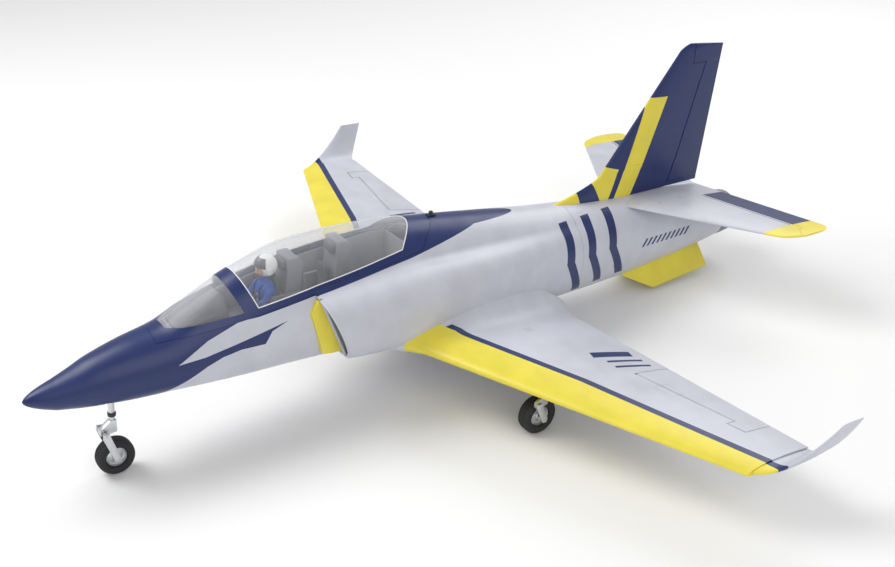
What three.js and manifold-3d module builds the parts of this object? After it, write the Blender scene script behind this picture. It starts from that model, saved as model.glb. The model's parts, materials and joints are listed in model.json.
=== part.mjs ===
// Radio-controlled jet trainer of moulded foam with a 90 mm ducted fan and retracting landing gear.
// Every piece is drawn in the airframe's frame: x to the left wing tip (port), y aft from the nose tip,
// z up, in millimetres. The last lines set the airframe down on its three wheels, nose 4 degrees up.
import * as THREE from "three";
import { mergeVertices } from "three/addons/utils/BufferGeometryUtils.js";
import Module from "manifold-3d";

const wasm = await Module();
wasm.setup();

// ---- Driving dimensions, mm and degrees ----
const ATTITUDE = 4; // nose-up angle on the ground
const GAP = 0.35; // clearance between neighbouring pieces
const SKIN = 6; // foam wall of the fuselage
const GLAZING = 1.6; // canopy and windshield
const CONE_JOINT = 46; // nose cone to fuselage
const TAIL_JOINT = 985; // front fuselage to tail section
const NOZZLE_JOINT = 1386;
const NOZZLE_END = 1430;
const FAN = { y: 850, z: 20, bore: 45, wall: 2, length: 52 };
const HATCH = { front: 192, rear: 688 };
const WING = { tip: 650, thickness: 0.125 };
const FLAP = { from: 150, to: 364 };
const AILERON = { from: 369, to: 580, step: 549 };
const STAB = { z: 100, tip: 290, thickness: 0.075 };
const ELEVATOR = { from: 63, horn: 266 };
const SPAR = { y: 776, z: -29, radius: 4.5, reach: 260 };
const TAIL_SPAR = { y: 1222, z: 100, radius: 2.5, reach: 150 };
const NOSE_GEAR = { y: 128, pivotZ: -3, wheelZ: -134, tyre: 30, rim: 16, width: 25 };
const MAIN_GEAR = { x: 285, y: 728, pivotZ: -27, wheelZ: -90.2, tyre: 32, rim: 17, width: 25 };

// Fuselage stations: y, half-width, height of the widest point, top, bottom, squareness of the lower half.
const BODY = [
  [46, 23.5, 0, 23.5, -23.5, 2],
  [75, 31.5, 3, 35, -28, 2],
  [100, 38, 7, 46, -31, 2],
  [150, 48, 12, 61, -33.5, 2.1],
  [210, 57, 18, 75, -34, 2.2],
  [252, 62, 21, 97, -34.5, 2.3],
  [320, 70, 30, 132, -35, 2.4],
  [397, 75, 42, 160, -35, 2.5],
  [450, 77, 49, 168.5, -35.5, 2.6],
  [530, 78, 52, 169.5, -38, 2.7],
  [605, 76, 52, 165.5, -42, 2.7],
  [680, 75, 50, 157, -47, 2.6],
  [760, 76, 47, 147, -52, 2.5],
  [850, 77, 43, 135, -56, 2.4],
  [931, 75, 39, 125, -58, 2.3],
  [1010, 70, 36, 118, -58, 2.2],
  [1100, 63, 34, 112, -56, 2.1],
  [1200, 57, 33, 107, -50, 2],
  [1300, 51, 29, 95, -38, 2],
  [1345, 48.5, 27, 82, -30, 2],
  [1386, 46, 25, 71, -21, 2],
];
// Intake nacelle stations: y, centre x, half-width, centre z, half-height.
const NACELLE = [
  [430, 70, 51, 42, 54],
  [470, 70, 53.5, 41, 59],
  [530, 70, 55, 40.5, 64],
  [610, 69, 54, 41, 67],
  [700, 66, 50, 40, 66],
  [800, 60, 46, 36, 66],
  [900, 50, 42, 32, 64],
  [1000, 38, 38, 28, 60],
  [1080, 26, 32, 28, 52],
];
// Intake duct stations: y, centre x, half-width, centre z, half-height.
const DUCT = [
  [492, 98.5, 17.5, 41, 44],
  [560, 95, 19, 38, 44],
  [640, 80, 24, 33, 44],
  [730, 46, 24, 24, 44],
  [820, 22.9, 22.3, 20, 44.6],
];

// ---- Small tools ----
const rad = (degrees) => (degrees * Math.PI) / 180;
const mix = (a, b, t) => a + (b - a) * t;
const sharpen = (value, power) => Math.sign(value) * Math.abs(value) ** power;

// Smooth curve through a table's columns at y, with each slope taken from the two neighbours.
function station(table, y) {
  const last = table.length - 1;
  let i = 0;
  while (i < last - 1 && table[i + 1][0] < y) i += 1;
  const [a, b] = [table[i], table[i + 1]];
  const span = b[0] - a[0];
  const t = Math.min(Math.max((y - a[0]) / span, 0), 1);
  const slope = (k, c) => {
    const [p, q] = [table[Math.max(k - 1, 0)], table[Math.min(k + 1, last)]];
    return (q[c] - p[c]) / (q[0] - p[0]);
  };
  const [h1, h2] = [t * t * (3 - 2 * t), t * (1 - t) ** 2];
  const h3 = t * t * (t - 1);
  return a.map((value, c) => mix(value, b[c], h1) + span * (h2 * slope(i, c) + h3 * slope(i + 1, c)));
}

function solid(geometry) {
  const bare = new THREE.BufferGeometry();
  bare.setAttribute("position", geometry.getAttribute("position"));
  if (geometry.index) bare.setIndex(geometry.index);
  const merged = mergeVertices(bare, 1e-4);
  return new wasm.Manifold(
    new wasm.Mesh({
      numProp: 3,
      vertProperties: new Float32Array(merged.getAttribute("position").array),
      triVerts: new Uint32Array(merged.index.array),
    }),
  );
}

function geometryOf(shape) {
  const { vertProperties, triVerts } = shape.getMesh();
  const geometry = new THREE.BufferGeometry();
  geometry.setAttribute("position", new THREE.BufferAttribute(vertProperties, 3));
  geometry.setIndex(new THREE.BufferAttribute(triVerts, 1));
  const flat = geometry.toNonIndexed();
  flat.computeVertexNormals();
  return flat;
}

const cut = (shape, ...tools) => tools.reduce((left, tool) => left.subtract(tool), shape);
const join = (shape, ...others) => others.reduce((all, other) => all.add(other), shape);
const common = (shape, ...others) => others.reduce((left, other) => left.intersect(other), shape);

// Skin over rings of points, closed by a flat cap at each end.
function loft(rings) {
  const count = rings[0].length;
  const points = rings.flat();
  const faces = [];
  for (let r = 0; r < rings.length - 1; r += 1) {
    for (let k = 0; k < count; k += 1) {
      const [a, b] = [r * count + k, r * count + ((k + 1) % count)];
      faces.push(a, b, b + count, a, b + count, a + count);
    }
  }
  const cap = (ring, base, flip) => {
    const middle = ring.reduce((sum, p) => sum.map((s, i) => s + p[i] / count), [0, 0, 0]);
    points.push(middle);
    for (let k = 0; k < count; k += 1) {
      const edge = [base + k, base + ((k + 1) % count)];
      faces.push(points.length - 1, ...(flip ? edge.reverse() : edge));
    }
  };
  cap(rings[0], 0, true);
  cap(rings[rings.length - 1], (rings.length - 1) * count, false);
  const geometry = new THREE.BufferGeometry();
  geometry.setAttribute("position", new THREE.Float32BufferAttribute(points.flat(), 3));
  geometry.setIndex(faces);
  const made = solid(geometry);
  if (made.volume() > 0) return made;
  geometry.setIndex(faces.map((_, i) => faces[i - (i % 3) + (2 - (i % 3))]));
  return solid(geometry);
}

// Prism of an outline drawn in two of the axes, between two places on the third.
function prism(plane, outline, from, to) {
  const shape = new THREE.Shape(outline.map(([u, v]) => new THREE.Vector2(u, v)));
  const geometry = new THREE.ExtrudeGeometry(shape, { depth: to - from, bevelEnabled: false });
  const turn = { xy: [0, 0, 1], yz: [1, 0, 0], xz: [0, -1, 0] }[plane];
  const u = plane === "yz" ? new THREE.Vector3(0, 1, 0) : new THREE.Vector3(1, 0, 0);
  const v = plane === "xy" ? new THREE.Vector3(0, 1, 0) : new THREE.Vector3(0, 0, 1);
  const w = new THREE.Vector3(...turn);
  geometry.applyMatrix4(new THREE.Matrix4().makeBasis(u, v, w));
  const start = plane === "xz" ? -to : from;
  geometry.translate(w.x * start, w.y * start, w.z * start);
  return solid(geometry);
}

function box(x, y, z, width, length, height) {
  return solid(new THREE.BoxGeometry(width, length, height).translate(x, y, z));
}

// Round bar along a vector from one point to another.
function bar(from, to, radius, sides = 16, endRadius = radius) {
  const [a, b] = [new THREE.Vector3(...from), new THREE.Vector3(...to)];
  const along = b.clone().sub(a);
  const geometry = new THREE.CylinderGeometry(endRadius, radius, along.length(), sides);
  const turn = new THREE.Quaternion().setFromUnitVectors(new THREE.Vector3(0, 1, 0), along.normalize());
  geometry.applyQuaternion(turn).translate(...a.add(b).multiplyScalar(0.5).toArray());
  return solid(geometry);
}

// Body of revolution about an axis through a point; the profile lists radius and distance along the axis.
function turned(profile, at, axis, sides = 32) {
  const geometry = new THREE.LatheGeometry(profile.map(([r, h]) => new THREE.Vector2(r, h)), sides);
  const turn = new THREE.Quaternion().setFromUnitVectors(new THREE.Vector3(0, 1, 0), axis);
  geometry.applyQuaternion(turn).translate(...at);
  const made = solid(geometry);
  if (made.volume() > 0) return made;
  return turned([...profile].reverse(), at, axis, sides);
}

const X = new THREE.Vector3(1, 0, 0);
const Y = new THREE.Vector3(0, 1, 0);

// ---- Lofted bodies ----
function bodyRing(y, inset = 0, sides = 24) {
  const [, half, wide, top, bottom, square] = station(BODY, y);
  return Array.from({ length: sides }, (_, k) => {
    const angle = (2 * Math.PI * k) / sides;
    const [c, s] = [Math.cos(angle), Math.sin(angle)];
    const power = s < 0 ? 2 / square : 1;
    const height = s < 0 ? wide - bottom : top - wide;
    return [(half - inset) * sharpen(c, power), y, wide + (height - inset) * sharpen(s, power)];
  });
}

function steps(from, to, stations, spacing) {
  const marks = stations.filter((y) => y > from + 6 && y < to - 6);
  const all = [from, ...marks, to];
  const list = [];
  for (let i = 0; i < all.length - 1; i += 1) {
    const parts = Math.ceil((all[i + 1] - all[i]) / spacing);
    for (let k = 0; k < parts; k += 1) list.push(mix(all[i], all[i + 1], k / parts));
  }
  return [...list, to];
}

const bodyStations = BODY.map((row) => row[0]);
const body = (from, to, inset = 0, sides = 24) =>
  loft(steps(from, to, bodyStations, 100).map((y) => bodyRing(y, inset, sides)));

function ovalRing([y, cx, half, cz, height], side, inset, square, sides) {
  return Array.from({ length: sides }, (_, k) => {
    const angle = (2 * Math.PI * k) / sides;
    const x = cx + (half - inset) * sharpen(Math.cos(angle), 2 / square);
    return [side * x, y, cz + (height - inset) * sharpen(Math.sin(angle), 2 / square)];
  });
}

const nacelle = (side, inset = 0, to = 1080) =>
  loft(steps(430, to, NACELLE.map((row) => row[0]), 100).map((y) =>
    ovalRing(station(NACELLE, y), side, inset, 2.3, 20)));

// The intake lip leans back: its top is forward of its bottom.
const LIP = [[380, 200], [396.9, 200], [520.5, -100], [380, -100]];
const lipCut = prism("yz", LIP, -200, 200);

// ---- Fuselage ----
const outer = join(
  body(CONE_JOINT, NOZZLE_JOINT),
  cut(nacelle(1), lipCut),
  cut(nacelle(-1), lipCut),
);
const sideWall = body(380, 530, -GAP);
const ductSpace = (side) => cut(nacelle(side, 4, 900), sideWall);
const hollow = join(body(CONE_JOINT - 5, NOZZLE_JOINT + 5, SKIN, 16), ductSpace(1), ductSpace(-1));

// The hatch lifts out above this line along each side.
const SILL = [[HATCH.front, 60], [250, 68], [346, 84], [445, 101], [560, 116], [650, 125], [HATCH.rear, 128]];
// Plan of a deck edge that bows aft over the spine; it is furthest aft at the middle.
function bowedPlan(front, rear, bow = 46, reach = 96) {
  const arc = Array.from({ length: 13 }, (_, k) => {
    const x = mix(reach, -reach, k / 12);
    return [x, rear - bow * Math.min(x / 54, 1.6, Math.max(x / 54, -1.6)) ** 2];
  });
  return [[-reach, front], [reach, front], ...arc];
}
const hatchSpace = (grow) =>
  common(
    prism("yz", [
      ...SILL.map(([y, z], i) => [y + (i === 0 ? -grow : i === SILL.length - 1 ? grow : 0), z - grow]),
      [HATCH.rear + grow, 220],
      [HATCH.front - grow, 220],
    ], -95, 95),
    prism("xy", bowedPlan(HATCH.front - 40, HATCH.rear + grow), 40, 240),
  );

const bellyFlat = box(0, 790, -54 - 50, 400, 900, 100);
const noseWell = box(0, 202, -30, 56, 182, 60);
const sparBore = bar([-400, SPAR.y, SPAR.z], [400, SPAR.y, SPAR.z], SPAR.radius + GAP, 16);
const shell = cut(outer, hollow, hatchSpace(GAP), bellyFlat, noseWell, sparBore);

// ---- Wing ----
const leadHeight = (x) => mix(-14, -12, (x - 100) / 550);
const trailHeight = (x) => mix(-33, -8.5, (x - 100) / 550);
const rootFair = (x, reach) => Math.min(1, Math.max(0, 1 - (x - 96) / reach)) ** 2;
const leadingEdge = (x) => 606 + 0.4 * (x - 150) - 24 * rootFair(x, 50);
const trailingEdge = (x) => 923 + 0.024 * (x - 150) + 20 * rootFair(x, 44);

// Half-thickness of a symmetrical section at a fraction of the chord.
function section(t, ratio) {
  const shape = 0.2969 * Math.sqrt(t) - 0.126 * t - 0.3516 * t * t + 0.2843 * t ** 3 - 0.1036 * t ** 4;
  return 5 * ratio * shape;
}

// Ring of a wing-like section at one span station: the upper side forward, then the lower side back.
function sectionRing(plan) {
  const { x, lead, trail, z, rearZ = z, ratio, lift = () => 0, count = 9, edge = 0.7, camber = 0 } = plan;
  const chord = trail - lead;
  const upper = [];
  const lower = [];
  for (let k = 0; k <= count; k += 1) {
    const t = (1 - Math.cos((Math.PI * k) / count)) / 2;
    const half = chord * section(t, ratio) + edge * t;
    const line = mix(z, rearZ, t) + camber * chord * 4 * t * (1 - t);
    upper.push([x, lead + t * chord, line + half + lift(t)]);
    lower.push([x, lead + t * chord, line - half]);
  }
  return [...upper.reverse(), ...lower.slice(1)];
}

// The root fillet sweeps the upper skin up against the fuselage side.
const filletRise = (x) => {
  const near = Math.min(1, Math.max(0, 1 - (x - 92) / 66)) ** 2.3;
  return (t) => 56 * near * Math.sin(Math.PI * t) ** 0.75;
};
const wingRing = (x) =>
  sectionRing({
    x,
    lead: leadingEdge(x),
    trail: trailingEdge(x),
    z: leadHeight(x),
    rearZ: trailHeight(x),
    ratio: mix(WING.thickness, 0.105, (x - 100) / 550),
    lift: filletRise(x),
    camber: 0.012,
  });
const mirror = (shape) => shape.mirror([1, 0, 0]);
const wingBlank = loft([50, 92, 100, 110, 122, 136, 158, 400, WING.tip].map(wingRing));
const grownBody = join(
  body(430, 1075, -GAP),
  cut(nacelle(1, -GAP), prism("yz", LIP.map(([y, z]) => [y - 1, z]), -200, 200)),
);

const hingeLine = (x) => mix(827, 888, (x - 250) / 300);
const flapHinge = (x) => mix(838, 862, (x - 150) / 214);
function panel(points, from, to) {
  return prism("xy", points, from, to);
}
const aileronPlan = (grow) => [
  [AILERON.from - grow, hingeLine(AILERON.from) - grow],
  [AILERON.step - grow, hingeLine(AILERON.step) - grow],
  [AILERON.step - grow, hingeLine(AILERON.step) - 15 - 3 * grow],
  [AILERON.to + grow, hingeLine(AILERON.to) - 15 - 3 * grow],
  [AILERON.to + 3 + grow, 960],
  [AILERON.from - grow, 960],
];
const flapPlan = (grow) => [
  [FLAP.from - grow, flapHinge(FLAP.from) - grow],
  [FLAP.to + grow, flapHinge(FLAP.to) - grow],
  [FLAP.to + grow, 960],
  [FLAP.from - grow, 960],
];
// The flap is the lower half of the trailing edge, below a sheet that follows the wing's mean surface.
function meanHeight(x, y) {
  const t = (y - leadingEdge(x)) / (trailingEdge(x) - leadingEdge(x));
  return mix(leadHeight(x), trailHeight(x), t);
}
const flapSheet = (drop) =>
  loft([FLAP.from - 5, FLAP.to + 5].map((x) => [
    [x, 800, -80],
    [x, 980, -80],
    [x, 980, meanHeight(x, 980) - drop],
    [x, 800, meanHeight(x, 800) - drop],
  ]));
// Flat round well for the folded wheel, wide enough for the suspension's travel, and a slot for the leg.
const wheelWell = join(
  box(232, MAIN_GEAR.y + 3, -30.5, 73, 76, 50),
  box(276, MAIN_GEAR.y, -30.5, 92, 36, 50),
);
// Space behind a hinge line that leaves a bevel for the surface to swing.
const BEVEL = Math.tan(rad(62));
const behind = (from, to, reach = 130) => {
  const along = new THREE.Vector3(...to).sub(new THREE.Vector3(...from)).normalize();
  const ends = [[from, -20], [to, 20]].map(([p, extra]) =>
    new THREE.Vector3(...p).addScaledVector(along, extra));
  return loft(ends.map(({ x, y, z }) => [
    [x, y, z],
    [x, y + reach, z - reach * BEVEL],
    [x, y + reach, z + reach * BEVEL],
  ]));
};
const hingePoint = (x) => [x, hingeLine(x), meanHeight(x, hingeLine(x))];
const aileronWhole = common(wingBlank, panel(aileronPlan(0), -100, 100));
const hornWidth = AILERON.to - AILERON.step + 6;
const aileronHorn = box(AILERON.step + hornWidth / 2, hingeLine(565) - 10, 0, hornWidth, 34, 100);
const aileronBlank = common(
  aileronWhole,
  join(behind(hingePoint(AILERON.from), hingePoint(AILERON.to)), aileronHorn),
);
const flapBlank = common(wingBlank, panel(flapPlan(0), -100, 100), flapSheet(0.6));
const wingPanel = cut(
  wingBlank,
  grownBody,
  panel(aileronPlan(0.8), -100, 100),
  common(panel(flapPlan(0.8), -100, 100), flapSheet(0.2)),
  wheelWell,
  bar([0, SPAR.y, SPAR.z], [SPAR.reach + 1, SPAR.y, SPAR.z], SPAR.radius + GAP, 16),
);

// Winglet: a swept blade canted outward from the raked tip.
const wingletRing = (t) => {
  const eased = t ** 0.8;
  const x = mix(WING.tip + 0.4, 700, t ** 0.55);
  return sectionRing({
    x: 0,
    lead: mix(815, 928, eased),
    trail: mix(934.5, 976, t),
    z: 0,
    ratio: mix(0.1, 0.07, t),
    count: 6,
    edge: 0.6,
  }).map(([, y, offset]) => [
    x + offset * Math.sin(rad(68)) * Math.min(1, t * 2.2 + 0.04) * -1,
    y,
    mix(-10.5, 58, t ** 1.5) + offset * mix(1, Math.cos(rad(68)), Math.min(1, t * 2.2)),
  ]);
};
const winglet = loft([0, 0.06, 0.15, 0.3, 0.5, 0.75, 1].map(wingletRing));

// ---- Tail surfaces ----
const stabLead = (x) => mix(1124, 1275, (x - 30) / 240);
const stabTrail = (x) => 1332.5 + 0.2326 * x;
const stabHinge = (x) => 1280 + 0.238 * x;
const stabRing = (x) => {
  const round = Math.max(0, (x - 262) / 28);
  return sectionRing({
    x,
    lead: stabLead(Math.min(x, 270)) + 44 * round ** 2.4,
    trail: stabTrail(x) - 22 * round ** 4,
    z: STAB.z + 0.01 * x,
    ratio: STAB.thickness * mix(1, 0.8, x / 290),
    count: 7,
  });
};
const stabBlank = loft([0.2, 60, 160, 262, 276, 285, STAB.tip].map(stabRing));
// The elevator carries the stabiliser's tip as a small horn ahead of its hinge.
const elevatorPlan = (grow) => [
  [ELEVATOR.from - grow, stabHinge(ELEVATOR.from) - grow],
  [ELEVATOR.horn - grow, stabHinge(ELEVATOR.horn) - grow],
  [ELEVATOR.horn + 2 - grow, stabHinge(ELEVATOR.horn) - 9 - grow],
  [STAB.tip + 20, stabHinge(ELEVATOR.horn) - 26 - grow],
  [STAB.tip + 20, 1450],
  [ELEVATOR.from - grow, 1450],
];
const stabHingePoint = (x) => [x, stabHinge(x), STAB.z + 0.01 * x];
const elevatorHorn = box(285, stabHinge(285) - 20, 100, 2 * (285 - ELEVATOR.horn), 60, 60);
const elevator = common(
  stabBlank,
  panel(elevatorPlan(0), 50, 150),
  join(behind(stabHingePoint(ELEVATOR.from), stabHingePoint(STAB.tip)), elevatorHorn),
);
const tailSparBar = (reach, radius) =>
  bar([-reach, TAIL_SPAR.y, TAIL_SPAR.z], [reach, TAIL_SPAR.y, TAIL_SPAR.z], radius, 12);
const tailBore = tailSparBar(TAIL_SPAR.reach + 1, TAIL_SPAR.radius + 0.2);
const stabiliser = cut(
  stabBlank,
  panel(elevatorPlan(0.8), 50, 150),
  tailBore,
);
const stabPocket = join(
  loft([-90, -60, 0, 60, 90].map((x) =>
    sectionRing({
      x,
      lead: stabLead(Math.abs(x)) - 0.8,
      trail: 1400,
      z: STAB.z,
      ratio: STAB.thickness,
      edge: 2.4,
      count: 7,
    }))),
  box(0, 1290, 140, 240, 300, 80),
  box(0, 1385, 110, 240, 110, 60),
);

// Vertical fin: outline in side view, thickness from a symmetrical section.
const FIN_ROOT_Z = 110;
const finLead = (z) => mix(1077, 1247, (z - 163) / 224);
const finTrail = (z) => mix(1333, 1351, (z - 109) / 271);
const finHinge = (z) => mix(1251, 1309, (z - 122) / 230);
function finRing(z) {
  const round = Math.max(0, (z - 376) / 14);
  const dorsal = z < 163 ? 1077 - 145 * ((163 - z) / 53) ** 1.7 - 16 * ((163 - z) / 53) : finLead(z);
  return sectionRing({
    x: 0,
    lead: dorsal + 14 * round ** 2,
    trail: finTrail(z),
    z: 0,
    ratio: mix(0.062, 0.07, (z - 110) / 270) * (z < 163 ? 14.5 / (0.062 * (finTrail(z) - dorsal)) : 1),
    count: 7,
    edge: 0.6,
  }).map(([, y, offset]) => [offset * (z > 385 ? 0.7 : 1), y, z]);
}
// The tip is cut on a slight slope, down towards the rear.
const FIN_TIP = [[1400, 378], [1345, 383], [1262, 390]];
const finTop = prism("yz", [[900, 90], [1400, 90], ...FIN_TIP, [900, 390]], -20, 20);
const finBlank = common(loft([FIN_ROOT_Z, 118, 126, 136, 148, 163, 270, 376, 386, 392].map(finRing)), finTop);
const RUDDER_FOOT = 119;
const rudderSide = (grow) => [
  [finHinge(RUDDER_FOOT) - grow, RUDDER_FOOT - grow],
  [finHinge(352) - grow, 352 - grow],
  [finHinge(352) - 34 - grow, 357 - grow],
  [1277 - grow, 400],
  [1400, 400],
  [1400, RUDDER_FOOT - grow],
];
const rudderFront = (reach) => [RUDDER_FOOT - 10, 400].map((z) => [
  [0, finHinge(z), z],
  [reach * BEVEL, finHinge(z) + reach, z],
  [-reach * BEVEL, finHinge(z) + reach, z],
]);
const rudderHorn = box(0, finHinge(375) - 15, 376, 40, 60, 50);
const rudderSpace = join(loft(rudderFront(140)), rudderHorn);
const rudder = common(finBlank, prism("yz", rudderSide(0), -20, 20), rudderSpace);
const fin = cut(
  finBlank,
  prism("yz", rudderSide(0.8), -20, 20),
  body(800, 1386, -GAP),
  loft([-30, 30].map((x) =>
    sectionRing({ x, lead: 1098, trail: 1336, z: STAB.z, ratio: STAB.thickness, edge: 1.4, count: 7 }))),
  box(0, 1300, 60, 60, 150, 100),
);

// Ventral fins: flat blades canted outward beneath the tail.
function ventral(side) {
  const blade = [[1122, 0], [1340, 0], [1351, -53], [1206, -55]];
  const cant = rad(28);
  const rings = [-2, 2].map((half) =>
    blade.map(([y, depth]) => [
      side * (26 - depth * Math.sin(cant) + half * Math.cos(cant)),
      y,
      mix(-40, -18, (y - 1122) / 226) + depth * Math.cos(cant) + half * Math.sin(cant),
    ]));
  return cut(loft(rings), body(1000, 1386, -GAP));
}

const slab = (from, to) => box(0, (from + to) / 2, 50, 400, to - from - GAP, 400);
const frontShell = common(shell, slab(CONE_JOINT, TAIL_JOINT));
const tailShell = cut(
  common(shell, slab(TAIL_JOINT, NOZZLE_JOINT)),
  stabPocket,
  tailBore,
);

// Nose cone: a blunt ogive with a hollow back.
const coneRadius = (y) => 23.5 * (y / CONE_JOINT) ** 0.58;
const coneProfile = [0, 1.5, 5, 11, 20, 32, CONE_JOINT - GAP].map((y) => [coneRadius(y), y]);
const noseCone = turned([...coneProfile, [17, CONE_JOINT - GAP], [12, 26], [0, 22]], [0, 0, 0], Y, 24);

// ---- Ducted fan ----
const ductRing = (row, side, inset) => ovalRing(row, side, inset, 2.2, 16);
function duct(side) {
  const at = steps(DUCT[0][0], DUCT[DUCT.length - 1][0], [560, 640, 730], 80);
  const skin = loft(at.map((y) => ductRing(station(DUCT, y), side, 0)));
  const boreRow = (y) => [y, ...station(DUCT, y).slice(1)];
  const bore = loft([DUCT[0][0] - 2, ...at, 822].map((y) => ductRing(boreRow(y), side, 1.4)));
  return cut(skin, bore);
}
const fanAt = (y, profile, sides = 32) =>
  turned(profile.map(([r, h]) => [r, h + y]), [0, 0, FAN.z], Y, sides);
const fanHousing = (() => {
  const { bore, wall, length, y } = FAN;
  const ring = fanAt(y - 24, [[bore, 0], [bore + wall, 0], [bore + wall, length], [bore, length], [bore, 0]]);
  const hub = fanAt(y + 12, [[17, 0], [19, 0], [19, 16], [17, 16], [17, 0]], 24);
  const vanes = Array.from({ length: 7 }, (_, k) => {
    const angle = (2 * Math.PI * k) / 7 + 0.2;
    const vane = new THREE.BoxGeometry(28, 14, 1.6).translate(32, y + 20, 0);
    return solid(vane.rotateY(angle).translate(0, 0, FAN.z));
  });
  return join(ring, hub, ...vanes);
})();
const fanRotor = (() => {
  const y = FAN.y;
  const hub = fanAt(y - 30, [[0, 0], [7, 3], [14, 11], [18.5, 22], [18.5, 38], [5, 38], [0, 38]], 24);
  const blades = Array.from({ length: 12 }, (_, k) => {
    const blade = new THREE.BoxGeometry(27, 15, 1.5).rotateX(rad(38)).translate(30.6, y - 6, 0);
    return solid(blade.rotateY((2 * Math.PI * k) / 12).translate(0, 0, FAN.z));
  });
  return join(hub, ...blades);
})();
const fanMotor = fanAt(FAN.y + 9, [[0, 0], [16.4, 0], [16.4, 44], [11, 52], [0, 54]], 24);
const thrustTube = (() => {
  const ring = (y, r, z) => Array.from({ length: 28 }, (_, k) => {
    const a = (2 * Math.PI * k) / 28;
    return [r * Math.cos(a), y, z + r * Math.sin(a)];
  });
  const from = FAN.y - 24 + FAN.length + GAP;
  const skin = loft([ring(from, 46.5, FAN.z), ring(1200, 42, 23), ring(NOZZLE_END - 8, 37.5, 25)]);
  const bore = loft([ring(from - 1, 45.3, FAN.z), ring(1200, 40.8, 23), ring(NOZZLE_END - 6, 36.3, 25)]);
  return cut(skin, bore);
})();
const nozzle = turned(
  [[39.5, 0], [46, 0], [44.5, 20], [41, 43.6], [39, 43.6], [39, 20], [39.5, 0]],
  [0, NOZZLE_JOINT + GAP, 25], Y, 36,
);

// Yellow plate that stands the intake off the fuselage side.
function splitter(side) {
  const outline = [[426, 72], [439, 92], [500, 84], [500, -4], [466, -4], [447, -3]];
  const wedge = prism("yz", outline, 60, 84.5);
  const rampFace = prism("xy", [[50, 400], [79.5, 420], [85.2, 470], [85.2, 520], [50, 520]], -60, 140);
  const plate = common(wedge, rampFace);
  return cut(
    side > 0 ? plate : mirror(plate),
    body(380, 640, -GAP),
    cut(nacelle(side, -GAP), nacelle(side, 4 + GAP), lipCut),
    loft([486, 560].map((y) => ductRing([y, ...station(DUCT, Math.max(y, 492)).slice(1)], side, -1))),
  );
}

// ---- Hatch with cockpit ----
const hatchSkin = (thickness) =>
  cut(body(HATCH.front - 20, HATCH.rear + 20), body(HATCH.front - 30, HATCH.rear + 30, thickness));
const hatchShell = common(hatchSkin(3), hatchSpace(0));
const ARCH = { front: 324, rear: 346, lean: 0.38 };
const CANOPY_REAR = 643;
const SCREEN_BASE = [[212, 74], [250, 78.5], [ARCH.front, 90.5]];
const CANOPY_BASE = [[ARCH.rear, 94.5], [445, 112], [560, 127], [660, 139]];
const screenSpace = (grow) =>
  prism("yz", [
    ...SCREEN_BASE.map(([y, z], i) => [y + (i === 0 ? -grow : i === 2 ? grow : 0), z - grow]),
    [ARCH.front - ARCH.lean * (220 - 90.5) + grow, 220],
    [212 - grow, 220],
  ], -90, 90);
const canopySpace = (grow) =>
  common(
    prism("xy", bowedPlan(280, CANOPY_REAR + grow), 40, 240),
    prism("yz", [
      ...CANOPY_BASE.map(([y, z], i) => [y - (i === 0 ? grow : 0), z - grow]),
      [660, 240],
      [ARCH.rear - ARCH.lean * (240 - 94.5) - grow, 240],
    ], -90, 90),
  );
const glassShell = hatchSkin(GLAZING);
const windshield = common(glassShell, screenSpace(-0.2), hatchSpace(0));
const canopyGlass = common(glassShell, canopySpace(-0.2), hatchSpace(0));
const hatchFrame = cut(hatchShell, screenSpace(0.15), canopySpace(0.15));

const TUB = [[224, 24], [250, 36], [300, 45], [345, 50], [440, 55], [600, 50], [634, 44]];
const tubPlan = (inset) => [
  ...TUB.map(([y, x], i) => [x - inset, y + (i === 0 ? inset : i === TUB.length - 1 ? -inset : 0)]),
  ...[...TUB].reverse().map(([y, x], i) =>
    [inset - x, y + (i === TUB.length - 1 ? inset : i === 0 ? -inset : 0)]),
];
const tubTop = (drop) =>
  prism("yz", [
    [200, 0], [200, 66 - drop], [250, 72 - drop], [346, 88 - drop], [445, 105 - drop], [560, 120 - drop],
    [660, 130 - drop], [660, 0],
  ], -90, 90);
const insideBody = body(200, 680, 4.5);
const cockpitTub = cut(
  common(panel(tubPlan(0), 42, 200), tubTop(0), insideBody),
  panel(tubPlan(1.8), 44, 240),
);
const coaming = (() => {
  const side = [[232, 66], [268, 100], [287, 114], [300, 114], [306, 108], [306, 46], [240, 46]];
  const plan = [[-20, 226], [20, 226], [38, 262], [42, 306], [-42, 306], [-38, 262]];
  const shoulder = [[43, 80], [30, 100], [14, 114]];
  const mirrored = [...shoulder].reverse().map(([x, z]) => [-x, z]);
  const roof = prism("xz", [[-44, 40], [44, 40], ...shoulder, ...mirrored], 200, 320);
  const block = common(prism("yz", side, -46, 46), panel(plan, 40, 130), roof);
  return common(block, body(200, 400, 6), panel(tubPlan(2.3), 44.4, 200));
})();
function seat(y, height) {
  const back = prism("yz", [
    [y, 44.4], [y + 30, 44.4], [y + 40, height - 8], [y + 32, height], [y + 14, height], [y + 8, 84], [y, 80],
  ], -21, 21);
  const pan = box(0, y - 18, 52, 42, 40, 15.2);
  const rests = join(
    box(25.6, y + 4, 66, 5, 52, 43.2),
    box(-25.6, y + 4, 66, 5, 52, 43.2),
    box(0, y + 12, 52, 52, 16, 15.2),
  );
  return join(back, pan, rests);
}
const pilotSeat = seat(404, 143);
const rearSeat = seat(492, 153);
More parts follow.
